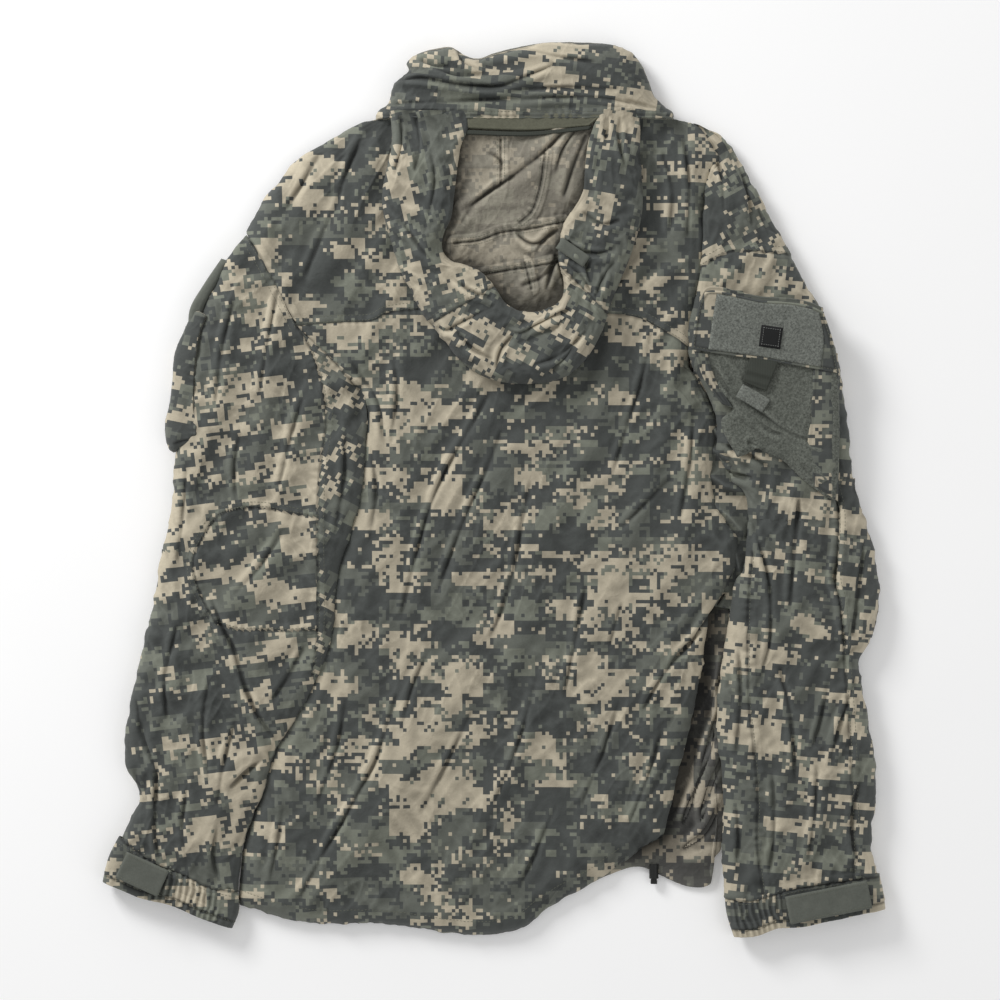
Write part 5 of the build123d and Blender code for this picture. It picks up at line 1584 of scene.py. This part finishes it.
# %% Right pocket bag
CREASES = [
    ([(226, 88), (253, 70), (272, 56), (291, 48), (318, 39)], 3.4),
    ([(206, 118), (216, 102), (226, 88)], 2.4),
    ([(252, 62), (262, 54), (276, 50)], 1.8),
    ([(240, 44), (249, 40), (256, 32)], 2.2),
    ([(290, 24), (302, 10), (312, -4)], 2.0),
]
BAG_TOP = [(196, 150), (250, 142), (326, 128)]
BAG_LEFT = [(196, 150), (195, 128), (203, 106), (214, 90), (226, 75), (216, 66), (217, 55), (231, 29)]
BAG_BOTTOM = [(231, 29), (240, 32), (250, 38), (260, 32), (274, 26), (284, 17), (294, 8), (306, -2), (316, -9)]
BAG_BOTTOM += [(326, -12)]
BAG_RIGHT = [(326, 128), (328, 80), (328, 30), (326, -12)]
bag_plan = patch(BAG_TOP, BAG_BOTTOM, BAG_LEFT, BAG_RIGHT, 86, 100)
bag_gap = gap_to(bag_plan, *(curve(edge, 60) for edge in (BAG_LEFT, BAG_BOTTOM, BAG_RIGHT)))
bag_high = 29.0 + 7.0 * rounded(bag_gap, 9.0)
BAG_FOLDS = [
    ([(222, 92), (253, 72), (272, 58), (291, 49), (318, 40)], -4.0, 4),
    ([(226, 82), (255, 62), (280, 44), (312, 30)], 3.5, 9),
    ([(205, 120), (216, 104), (226, 88)], -3.0, 3.5),
    ([(212, 126), (224, 108), (234, 92)], 3.0, 5),
    ([(236, 66), (252, 56), (262, 40)], -2.0, 6),
    ([(286, 30), (300, 16), (316, 6)], 2.5, 6),
    ([(240, 46), (248, 40), (256, 34)], 2.5, 4),
]
bag_start = np.dstack([bag_plan, rumple(bag_plan, bag_high, BAG_FOLDS, 181.0, 24.0, 0.9, -0.5)])
bag_cut = spare_cloth(np.dstack([bag_plan, bag_high]), 0.012, 0.01, -0.5)
bag_sheet = settle(bag_start, bag_cut, held_all_round(bag_plan), bag_high - 5.0, steps=12, bend=0.15)
bag_sheet[..., 2] = np.minimum(bag_sheet[..., 2], 37.0)
bag_low = np.dstack([bag_plan, np.minimum(bag_high, 29.0) - 1.5 * rounded(bag_gap, 4.0)])
bag_low[0] = bag_sheet[0]
bag_low[-1], bag_low[:, 0], bag_low[:, -1] = bag_sheet[-1], bag_sheet[:, 0], bag_sheet[:, -1]
closed_sheet(
    "sleeve_pocket_right_bag", bag_sheet, bag_low, bag_plan, bag_pile, [], 183.0, crease=0.5
)


def band_edges_of(left, right):
    """The four edges of a band from its left and right lines, straight at top and bottom."""
    return [left[0], right[0]], [left[-1], right[-1]], left, right


slab(
    "sleeve_pocket_right_strip",
    band_edges_of([(303, 131), (302, 100), (299, 60), (297, 36), (304, 2)], [(326, 128), (328, 60), (326, -12)]),
    lambda plan: 33.5 - 3.5 * rise(plan[..., 0], 318, 328), lambda plan: 36.6 - 5 * rise(plan[..., 0], 316, 329),
    20, 60, shell, 185.0, 2.0, wave=1.8, shift=(-380, -140),
)
slab(
    "sleeve_pocket_right_side",
    band_edges_of([(190, 130), (199, 104), (216, 80)], [(203, 128), (210, 104), (227, 76)]),
    30.0, 36.8, 12, 40, shell, 187.0, 2.0, wave=1.3, shift=(420, 120),
)

# %% Right pocket flap
FLAP_TOP = [(195, 177), (201, 186), (213, 187), (234, 182), (253, 178), (282, 176), (301, 172), (312, 167)]
FLAP_BOTTOM = [(187, 132), (215, 127), (253, 122), (282, 117), (327, 109)]
FLAP_LEFT = [(195, 177), (190, 155), (187, 132)]
FLAP_RIGHT = [(312, 167), (321, 140), (327, 109)]


def flap_low(plan):
    return 37.3 - 2.0 * rise(plan[..., 0], 306, 328) - 1.5 * rise(205 - plan[..., 0], 0, 18)


def above_flap(by):
    return lambda plan: flap_low(plan) + by


flap_edges = FLAP_TOP, FLAP_BOTTOM, FLAP_LEFT, FLAP_RIGHT
slab("pocket_flap_right_cloth", flap_edges, flap_low, above_flap(2.4), 90, 40, shell, 191.0, 3.0, shift=(-130, 260))
field_edges = (
    [(211, 184), (234, 179.5), (253, 175.5), (282, 173.5), (300, 169.5), (308, 166)],
    [(203, 131.5), (253, 124.5), (282, 119.5), (309, 114.5)], [(211, 184), (207, 160), (203, 131.5)],
    [(308, 166), (312, 140), (309, 114.5)],
)
slab("flap_loop_field_pile", field_edges, above_flap(2.2), above_flap(4.0), 70, 38, pile, 193.0, 2.0, wave=0.3)
seam_edges = strip_edges(shifted(FLAP_TOP, 0, 4), shifted(FLAP_TOP, 0, -3))
slab("pocket_flap_seam_cloth", seam_edges, 30.0, 38.5, 60, 8, shell, 195.0, 2.0, shift=(60, 60))
SQUARE_TURN = math.radians(-8)


def turned_square(size, x=262.0, y=143.0, turn=SQUARE_TURN):
    c, s, half = math.cos(turn), math.sin(turn), size / 2
    square = (-half, half), (half, half), (half, -half), (-half, -half)
    return corners(*[(x + c * a - s * b, y + s * a + c * b) for a, b in square])


slab("id_square_base_cloth", turned_square(20.5), 41.0, 42.4, 18, 18, dark_cloth, 197.0, 1.4, wave=0.1)
slab("id_square_cover_cloth", turned_square(18.5), 42.7, 44.0, 18, 18, dark_cloth, 199.0, 2.4, wave=0.15)


def creased_tab(plan):
    """The webbing is folded across twice."""
    down = (plan[..., 1] + 0.25 * plan[..., 0]) - 160.0
    return 39.2 + 1.9 * np.exp(-(((down - 12.0) / 3.2) ** 2)) + 1.3 * np.exp(-(((down - 3.0) / 2.6) ** 2))


tab_edges = strip_edges([(243, 125), (270, 121)], [(235, 101), (258, 92)])
slab("flap_pull_tab_webbing", tab_edges, 37.6, creased_tab, 26, 34, webbing, 201.0, 2.0, wave=0.7)
end_edges = corners((236, 99), (262, 84), (254, 72), (229, 87))
slab("flap_pull_tab_end", end_edges, 36.9, 38.9, 20, 14, pile, 203.0, 1.6, wave=0.3)
print("right pocket", SLABS[-8:])

# %% [markdown]
# ## The left sleeve pocket
# The same pocket on the other sleeve has turned under the edge, so little more than the rim of its
# flap and the side of its bag can be seen.

# %% Left pocket
CREASES = []
LEFT_BAG_TOP = [(-272, 164), (-280, 168), (-287, 168)]
LEFT_BAG_OUTER = [(-287, 168), (-296, 148), (-303, 130), (-306, 100), (-309, 78), (-313, 62), (-311, 42), (-305, 34)]
LEFT_BAG_INNER = [(-272, 164), (-278, 148), (-282, 122), (-284, 80), (-281, 54), (-284, 40)]
LEFT_BAG_BOTTOM = [(-284, 40), (-295, 37), (-305, 34)]
left_bag_plan = patch(LEFT_BAG_TOP, LEFT_BAG_BOTTOM, LEFT_BAG_INNER, LEFT_BAG_OUTER, 24, 90)
gap = gap_to(left_bag_plan, curve(LEFT_BAG_OUTER, 60))
both = gap_to(left_bag_plan, curve(LEFT_BAG_OUTER, 60), curve(LEFT_BAG_BOTTOM, 20))
upper_side = 10 + 15.0 * rounded(both, 14.0) + 1.2 * ripple(left_bag_plan, 14.0, 211.0, 2.0, 1.4)
upper_side[:, -1], upper_side[-1] = 10.0, 10.0
lower_side = 10 - 6.0 * rounded(gap, 8.0)
lower_side[-1] = 10.0
lower_side[0], lower_side[:, 0] = upper_side[0] - 2, upper_side[:, 0] - 3
left_bag = closed_sheet(
    "sleeve_pocket_left_bag", np.dstack([left_bag_plan, upper_side]), np.dstack([left_bag_plan, lower_side]),
    left_bag_plan, shell, [curve(LEFT_BAG_INNER, 40), curve(shifted(LEFT_BAG_BOTTOM, 2, 8), 20)], 213.0, (350, 80), 0.2,
)
left_flap_edges = band_edges_of(
    [(-250, 216), (-264, 192), (-276, 168), (-276, 150), (-274, 137)],
    [(-259, 219), (-276, 194), (-289, 171), (-290, 155), (-285, 139)],
)
slab("pocket_flap_left_cloth", left_flap_edges, 8.0, 20.0, 14, 60, grey_cloth, 215.0, 0.0, wave=0.8, rim=5.0)
print("left pocket", len(left_bag.data.polygons), "faces")

# %% [markdown]
# ## The two fronts
# Under the back lie the two fronts, joined by the zip. They show at the hem and from below. The lower
# corner of one has turned out past the back and shows the wrong side of the cloth.


# %% Fronts
def front(name, top, bottom, left, right, cols, rows, finish, seed, shift, folds=(), shaded=None):
    """One front of the jacket: a flat sheet with a wall, and folds only where some are given."""
    plan = patch(top, bottom, left, right, cols, rows)
    gap = gap_to(plan, *(curve(edge, 80) for edge in (left, right, bottom)))
    up = 3.6 + 1.6 * rounded(gap, 8.0) + 0.9 * ripple(plan, 40.0, seed, 2.0)
    for line, tall, wide in folds:
        up = up + fold(plan, line, tall, wide)
    sheet = np.dstack([plan, np.maximum(up, 2.2)])
    faces = facing_up(sheet.reshape(-1, 3), grid_faces(rows, cols))
    piece = new_piece(name, sheet.reshape(-1, 3), faces, plan.reshape(-1, 2) + shift)
    return finish_cloth(wall_of(piece, 0.9), finish, (), seed, crease=0.4, shaded=shaded)


FRONT_TOP_L = [(-112, 348), (-50, 350), (2, 350)]
FRONT_LEFT = [(-112, 348), (-158, 327), (-200, 294), (-232, 243), (-226, 215), (-190, 150), (-140, 100), (-140, 40)]
FRONT_LEFT += [(-140, -20), (-160, -90), (-172, -150), (-205, -230), (-228, -290), (-240, -350), (-241, -392)]
FRONT_BOTTOM_L = [(-241, -392), (-193, -408), (-108, -412), (-60, -418), (2, -422)]
front(
    "front_panel_left_cloth", FRONT_TOP_L, FRONT_BOTTOM_L, FRONT_LEFT, [(2, 350), (2, 0), (2, -422)],
    56, 150, shell, 221.0, (-600, 0),
)
CORNER_FOLDS = [
    ([(220, -236), (202, -266), (188, -300)], 9.0, 8),
    ([(218, -286), (202, -310), (188, -335)], 8.0, 7),
    ([(206, -262), (198, -285), (202, -310)], -4.0, 5),
    ([(210, -340), (196, -348), (178, -352)], 4.0, 6),
    ([(216, -150), (210, -190), (212, -226)], 6.0, 7),
]


def under_the_back(points):
    """The shade between the hem of the back and the sleeve."""
    return 1.5 * np.exp(-gap_to(points, BACK_RIGHT) / 13.0) * rise(points[:, 0], 120, 150) - 0.1


CREASES = [
    ([(222, -190), (208, -236), (198, -270), (180, -320)], 4.0),
    ([(222, -250), (206, -285), (196, -322)], 4.0),
    ([(216, -300), (200, -328), (180, -344)], 3.4),
]
FRONT_RIGHT = [(172, 348), (196, 338), (206, 318), (200, 236), (186, 150), (196, 90), (205, 20), (220, -50)]
FRONT_RIGHT += [(226, -120), (222, -200), (224, -300), (217, -346)]
FRONT_BOTTOM_R = [(14, -421), (49, -400), (87, -380), (112, -368), (139, -361), (158, -369), (181, -379)]
FRONT_BOTTOM_R += [(196, -381), (207, -377), (205, -362), (210, -352), (216, -346)]
front(
    "front_panel_right_cloth", [(14, 350), (100, 350), (172, 348)], FRONT_BOTTOM_R, [(14, 350), (14, 0), (14, -421)],
    FRONT_RIGHT, 66, 160, inside, 223.0, (700, 40), folds=CORNER_FOLDS, shaded=under_the_back,
)


def box_edges(low, high):
    """The four edges of a box of the model, seen from above."""
    return corners((low[0], high[1]), (high[0], high[1]), (high[0], low[1]), (low[0], low[1]))


for side, x in (("left", -186), ("right", 234)):
    pocket_edges = box_edges(*box_of(f"front_pocket_{side}"))
    name = f"front_pocket_{side}_cloth"
    slab(name, pocket_edges, 3.6, 0.5, 40, 70, shell, 225.0, 3.0, wave=0.3, shift=(x, 200))
print("front pockets", SLABS[-2:])

# %% [markdown]
# ## The zip
# The zip runs up the front, so it is seen only from below and at the neck. Its teeth are the same
# shape a few hundred times over: Geometry Nodes place one small tooth at each step of a line.

# %% Zip tapes and teeth
for side in ("left", "right"):
    low, high = box_of(f"zip_tape_{side}")
    name, edges = f"zip_tape_{side}_cloth", box_edges(low, high)
    slab(name, edges, low[2], high[2] + 0.2, 10, 200, zip_tape, 231.0, 2.0, wave=0.1, rim=0.4)


def row_tool(name, sockets, shape):
    """A Geometry Nodes tree that puts a small shape at every `Pitch` of a line.

    `shape` adds the shape's own nodes: it takes the tree and its inputs, and returns the shape and how it is placed.
    """
    tree = bpy.data.node_groups.new(name, "GeometryNodeTree")
    for label, kind in {"Geometry": "Geometry", "Pitch": "Float", "Finish": "Material", **sockets}.items():
        tree.interface.new_socket(label, in_out="INPUT", socket_type=f"NodeSocket{kind}")
    tree.interface.new_socket("Geometry", in_out="OUTPUT", socket_type="NodeSocketGeometry")
    given, result = tree.nodes.new("NodeGroupInput").outputs, tree.nodes.new("NodeGroupOutput")
    path = add(tree, "GeometryNodeMeshToCurve", {0: given["Geometry"]}).outputs[0]
    spots = add(tree, "GeometryNodeResampleCurve", {"Curve": path, "Length": given["Pitch"]}, mode="LENGTH").outputs[0]
    made, placing = shape(tree, given)
    placed = add(tree, "GeometryNodeInstanceOnPoints", {"Points": spots, "Instance": made, **placing}).outputs[0]
    whole = add(tree, "GeometryNodeRealizeInstances", {0: placed}).outputs[0]
    painted = add(tree, "GeometryNodeSetMaterial", {"Geometry": whole, "Material": given["Finish"]}).outputs[0]
    tree.links.new(painted, result.inputs[0])
    return tree


def run_tool(piece, tree, **values):
    """Puts a tree on a piece with its inputs set by their identifiers, and makes the result a plain mesh."""
    step = piece.modifiers.new(tree.name, "NODES")
    step.node_group = tree
    for item in tree.interface.items_tree:
        if item.item_type == "SOCKET" and item.in_out == "INPUT" and item.name in values:
            step[item.identifier] = values[item.name]
    return settle_modifiers(piece)


def line_piece(name, points, links, facing):
    """Edges between points in mm, each point with the direction it faces."""
    mesh = bpy.data.meshes.new(name)
    mesh.from_pydata((np.asarray(points, float) * MM).tolist(), links, [])
    mark = mesh.attributes.new("facing", "FLOAT_VECTOR", "POINT")
    mark.data.foreach_set("vector", np.asarray(facing, np.float32).ravel())
    piece = bpy.data.objects.new(name, mesh)
    bpy.context.scene.collection.objects.link(piece)
    return piece


def tooth(tree, given):
    sockets = {"Size": given["Size"], "Vertices X": 3, "Vertices Y": 2, "Vertices Z": 2}
    return add(tree, "GeometryNodeMeshCube", sockets).outputs[0], {}


UP = (0, 0, 1)
teeth_tree = row_tool("zip_teeth", {"Size": "Vector"}, tooth)
for side, shift in (("left", 0.0), ("right", 1.25)):
    low, high = box_of(f"zip_teeth_{side}")
    (x, _, z), (wide, _, tall) = (low + high) / 2, (high - low) * MM
    ends = [(x, low[1] + 1 + shift, z), (x, high[1] - 1, z)]
    row = line_piece(f"zip_teeth_{side}_row", ends, [(0, 1)], [UP, UP])
    run_tool(row, teeth_tree, Pitch=2.5 * MM, Size=(wide * 0.96, 1.3 * MM, tall * 0.9), Finish=zip_plastic)
low, high = box_of("zip_guard")
slab(
    "zip_guard_cloth", box_edges(low, high), low[2], high[2], 24, 200, shell, 241.0, 3.0, wave=0.2, shift=(0, -900)
)
low, high = box_of("hanger_loop")
slab(
    "hanger_loop_webbing", box_edges(low, high), low[2], low[2] + 3.0, 40, 8, webbing, 243.0, 1.2, wave=0.2, rim=2.0
)
print("zip", SLABS[-4:])

# %% [markdown]
# ## Sewing
# A line of sewing is one short stitch after another. Each line is first laid on the cloth, and then
# the same small tree puts a stitch at every step, turned along the line and lying on the surface.

# %% Stitches
def bead(tree, given):
    """A long bead, turned along the line and then so that it lies on the cloth."""
    way = add(tree, "GeometryNodeInputTangent").outputs[0]
    facing = add(tree, "GeometryNodeInputNamedAttribute", {"Name": "facing"}, data_type="FLOAT_VECTOR").outputs[0]
    first = add(tree, "FunctionNodeAlignRotationToVector", {"Vector": way}, axis="X").outputs[0]
    sockets = {"Rotation": first, "Vector": facing}
    turned = add(tree, "FunctionNodeAlignRotationToVector", sockets, axis="Z", pivot_axis="X").outputs[0]
    ball = add(tree, "GeometryNodeMeshUVSphere", {"Segments": 6, "Rings": 4, "Radius": 0.5}).outputs[0]
    sizes = {0: given["Length"], 1: given["Thickness"], 2: given["Thickness"]}
    return ball, {"Rotation": turned, "Scale": add(tree, "ShaderNodeCombineXYZ", sizes).outputs[0]}


stitch_tree = row_tool("stitches", {"Length": "Float", "Thickness": "Float"}, bead)


def offset(line, by):
    """A curve moved sideways by a few mm."""
    dense = curve(line, max(int(np.linalg.norm(np.diff(np.array(line, float), axis=0), axis=1).sum() / 2.5), 4))
    way = np.gradient(dense, axis=0)
    way /= np.linalg.norm(way, axis=1)[:, None]
    return dense + by * np.column_stack([-way[:, 1], way[:, 0]])


def sew(name, lines, panels, pitch=3.4, length=2.5, thickness=0.55, finish=thread):
    """Lays lines of sewing on the first panel that lies under each point, and stitches them."""
    trees, rows, ups, links, count = [BACKS_UP[panel] for panel in panels], [], [], [], 0
    for line in lines:
        last = -1
        for x, y in line:
            hits = [tree.ray_cast(Vector((x * MM, y * MM, 0.1)), Vector((0, 0, -1))) for tree in trees]
            hits = [h for h in hits if h[0] is not None]
            if not hits:
                last = -1
                continue
            spot, up = max(hits, key=lambda h: h[0].z)[:2]
            rows.append(tuple(np.array(spot) / MM + np.array(up) * 0.08))
            ups.append(tuple(up))
            if last >= 0:
                links.append((last, count))
            last = count
            count += 1
    piece = line_piece(name, rows, links, ups)
    sizes = {"Pitch": pitch * MM, "Length": length * MM, "Thickness": thickness * MM}
    run_tool(piece, stitch_tree, **sizes, Finish=finish)
    print(name, len(piece.data.polygons), "faces")
    return piece


# %% [markdown]
# ## Table, light and camera
# The jacket is looked at from straight above, a long way off, so that nothing leans outwards. The
# light is soft and white from the upper left, with a bright room all round it.

# %% Table, light and camera
table_mesh = bpy.data.meshes.new("table")
table_mesh.from_pydata([(-6, -6, -0.001), (6, -6, -0.001), (6, 6, -0.001), (-6, 6, -0.001)], [], [(0, 1, 2, 3)])
table = bpy.data.objects.new("table", table_mesh)
bpy.context.scene.collection.objects.link(table)
paper, paper_tree, paper_shader = new_finish("table_paper")
spot = add(paper_tree, "ShaderNodeTexCoord").outputs["Object"]
paper_tree.links.new(
    tint(paper_tree, cloudy(paper_tree, spot, 300.0, 2.0), (0.93, 0.93, 0.93), (0.96, 0.96, 0.96)),
    paper_shader.inputs["Base Color"],
)
paper_shader.inputs["Roughness"].default_value = 0.9
paper_shader.inputs["Emission Color"].default_value = (1.0, 1.0, 1.0, 1.0)
paper_shader.inputs["Emission Strength"].default_value = 0.08
table_mesh.materials.append(paper)
table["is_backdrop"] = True


def lamp(name, place, aim, watts, size):
    light = bpy.data.lights.new(name, "AREA")
    light.energy, light.size = watts, size
    lit = bpy.data.objects.new(name, light)
    lit.location = place
    lit.rotation_mode = "QUATERNION"
    lit.rotation_quaternion = (Vector(aim) - Vector(place)).to_track_quat("-Z", "Y")
    bpy.context.scene.collection.objects.link(lit)


lamp("soft_key", (-1.8, 1.9, 1.6), (0, 0, 0), 62, 1.0)
lamp("soft_fill", (1.9, -1.2, 2.2), (0, 0, 0), 8, 2.0)
room = bpy.data.worlds.new("bright_room")
bpy.context.scene.world = room
room.use_nodes = True
room.node_tree.nodes["Background"].inputs["Color"].default_value = (1.0, 1.0, 1.0, 1.0)
room.node_tree.nodes["Background"].inputs["Strength"].default_value = 0.54
bpy.context.scene.view_settings.view_transform = "Standard"

lens = bpy.data.cameras.new("camera")
lens.lens, lens.sensor_width, lens.clip_end = 135, 36, 50
camera = bpy.data.objects.new("camera", lens)
camera.location = (0.0062, -0.0109, 0.02 + 3.5625)
bpy.context.scene.collection.objects.link(camera)
bpy.context.scene.camera = camera
print("camera", [round(v, 3) for v in camera.location])

# %% Where the sewing runs
sew("sewing_back", [offset(YOKE_SEAM, 1.6), offset(YOKE_SEAM, 6.5), offset(HEM, 14)], [yoke.name, back.name])
left_sewing = [(ARMHOLE_LEFT, -2), (ARMHOLE_LEFT, -7), (GUSSET_SEAM, 1.6), (GUSSET_SEAM, 6), (ELBOW_LEFT, 1.8)]
left_sewing += [(ELBOW_LEFT, 5.5), (ELBOW_END_LEFT, 2)]
sew("sewing_left_sleeve", [offset(*run) for run in left_sewing], left_parts)
right_sewing = [(CAP_SEAM_RIGHT, 1.8), (CAP_SEAM_RIGHT, 6.5), (INNER_SEAM_RIGHT, 1.6), (OUTER_SEAM_RIGHT, 1.6)]
right_sewing += [(OUTER_SEAM_RIGHT, 6)]
sew("sewing_right_sleeve", [offset(*run) for run in right_sewing], right_parts)
cuff_runs = LEFT_HEM_SEAM, shifted(LEFT_CUFF_TOP, -2, -6)
sew("sewing_left_cuff", [offset(run, 0.0) for run in cuff_runs], ["cuff_left_cloth"])
cuff_runs = RIGHT_HEM_SEAM, shifted(RIGHT_CUFF_TOP, 1, -6)
sew("sewing_right_cuff", [offset(run, 0.0) for run in cuff_runs], ["cuff_right_cloth"])
sew("sewing_collar", [offset([(-100, 358), (30, 357), (160, 358)], 0)], ["collar_cloth"])
for side, ends in tab_ends.items():
    runs = [offset(line, 0.0) for line in band_corners(*ends, 22)]
    sew(f"sewing_cuff_tab_{side}", runs, [f"cuff_tab_{side}_cloth"], 2.6, 2.0, 0.5)
lining_runs = [offset(line, by) for line in LINING_SEAMS for by in (-3.4, 0.8, 3.4)]
sew("sewing_hood", lining_runs, ["hood_lining_cloth"], 2.6, 2.1, 0.5)
left_run, right_run = hood_lines
band_runs = [offset(left_run, 2.5), offset(left_run, 6.5), offset(right_run, 2.5)]
sew("sewing_hood_band", band_runs, hood_parts, 3.0, 2.3, 0.5)
flap_sewing = (FLAP_BOTTOM, 2.4), (FLAP_LEFT, 2.4), (FLAP_RIGHT, -2.4), (FLAP_TOP, -2.8)
flap_runs = [offset(edge, by) for edge, by in flap_sewing]
sew("sewing_flap", flap_runs, ["pocket_flap_right_cloth", "flap_loop_field_pile"], 3.0, 2.3, 0.5)
grey_thread = plain_cloth("grey_thread", linear(140, 142, 138), 0.2, 0.5, 0.8, use_cut=False)
square_runs = [offset(edge, 0.0) for edge in turned_square(15.5)]
sew("sewing_square", square_runs, ["id_square_cover_cloth"], 2.2, 1.7, 0.45, grey_thread)

# %% [markdown]
# ## What moves with what
# Every piece but the hood's rides on one body of the model: the flaps, the tabs and the cover of the
# square on their own, the rest on the jacket. The hood is sewn to the neck; its cloth and sewing are
# given no body and stay where they lie, and only its cinch tab rides on the hood.

# %% Finishes of the parts kept from the model
kept = {
    "zip_slider": zip_metal, "zip_pull": zip_metal, "zip_stop": zip_metal, "cord_lock_body": lock_plastic,
    "cord_lock_plunger": lock_plastic, "cord_lock_spring": spring_steel,
}
for name, finish in kept.items():
    part = frame["nodes"][name]
    for place in range(len(part.material_slots)):
        part.material_slots[place].material = finish

# %% Bodies, and the model parts that each piece stands for
named = bpy.data.objects
made_here = [o for o in bpy.context.scene.objects if o.type == "MESH" and o.name not in frame["nodes"]]
OTHER_NAMES = {  # most pieces are named after the part they stand for, and these are not
    "cuff_left_cloth": ["cuff_left", "cuff_elastic_left"], "cuff_right_cloth": ["cuff_right", "cuff_elastic_right"],
    "hood_lining_cloth": ["hood_back"], "pocket_flap_seam_cloth": ["pocket_flap_seam_right"],
}
for piece in made_here:
    node, kind = piece.name.rpartition("_")[::2]
    if piece.name in OTHER_NAMES:
        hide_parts(*OTHER_NAMES[piece.name])
    elif node in frame["nodes"] and kind in ("cloth", "pile", "bag", "webbing", "row"):
        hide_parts(node)
BODIES = {
    "right_pocket_flap": ["pocket_flap_right_cloth", "flap_loop_field_pile", "id_square_base_cloth",
                          "flap_pull_tab_webbing", "flap_pull_tab_end", "sewing_flap"],
    "left_pocket_flap": ["pocket_flap_left_cloth"], "id_cover": ["id_square_cover_cloth", "sewing_square"],
    "hood": ["hood_cinch_tab_cloth"],
}
for side in ("left", "right"):
    tab = f"cuff_tab_{side}"
    BODIES[tab] = [f"{tab}_cloth", f"cuff_hook_{side}_pile", f"sewing_{tab}"]
body_of = {name: body for body, names in BODIES.items() for name in names}
for piece in made_here:
    if piece.name.startswith(("hood_", "sewing_hood")) and piece.name not in body_of:
        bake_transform(piece)
    else:
        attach(piece, body_of.get(piece.name, "jacket"))
print("pieces", len(made_here))

# %% [markdown]
# ## The cloth as it was cut
# Each sheet's size as it was cut is printed: its length, and the mean width that gives its area. The
# area is counted on the finished mesh, one layer of it where the piece is closed.


# %% Sheets
def cloth_area(piece):
    """The area of a piece in square metres, and the length of its open edge in metres."""
    made = bmesh.new()
    made.from_mesh(piece.data)
    area = sum(f.calc_area() for f in made.faces)
    rim = sum(e.calc_length() for e in made.edges if e.is_boundary)
    made.free()
    return area, rim


NARROWEST = 10.5 * MM  # a sheet's declared width stays above this


def declare(piece, length):
    """The size of a piece as a sheet, as text. One that has hardly any open edge is closed, and its area is two layers.
    """
    area, rim = cloth_area(piece)
    length *= MM
    single = area / 2 if rim < 0.5 * (length + area / length) else area
    length = min(length, single / NARROWEST)
    return f"{piece.name} {single / length / MM:.0f} x {length / MM:.0f} mm"


lengths = {
    "side_panel_right_cloth": 225, "back_yoke_cloth": 430, "back_panel_cloth": 570,
    "sleeve_upper_left_cloth": 300, "sleeve_lower_left_cloth": 330,
    "elbow_patch_left_cloth": 115, "sleeve_gusset_left_cloth": 320, "shoulder_right_cloth": 130,
    "sleeve_upper_right_cloth": 260,
    "sleeve_lower_right_cloth": 360, "elbow_patch_right_cloth": 120, "cuff_left_cloth": 125, "cuff_right_cloth": 150,
    "collar_cloth": 280, "hood_side_left_cloth": 230, "hood_crown_cloth": 230, "hood_side_right_cloth": 230,
    "hood_lining_cloth": 200, "front_panel_left_cloth": 770, "front_panel_right_cloth": 770,
    "sleeve_pocket_right_bag": 150, "sleeve_pocket_left_bag": 135,
}
for name in SLABS:
    lengths[name] = max(max(named[name].dimensions) / MM, 11.0)
for name, length in lengths.items():
    print(declare(named[name], length))

# %% Finish
low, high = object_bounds()
print("visual box", [round(v, 4) for v in (*low, *high)])
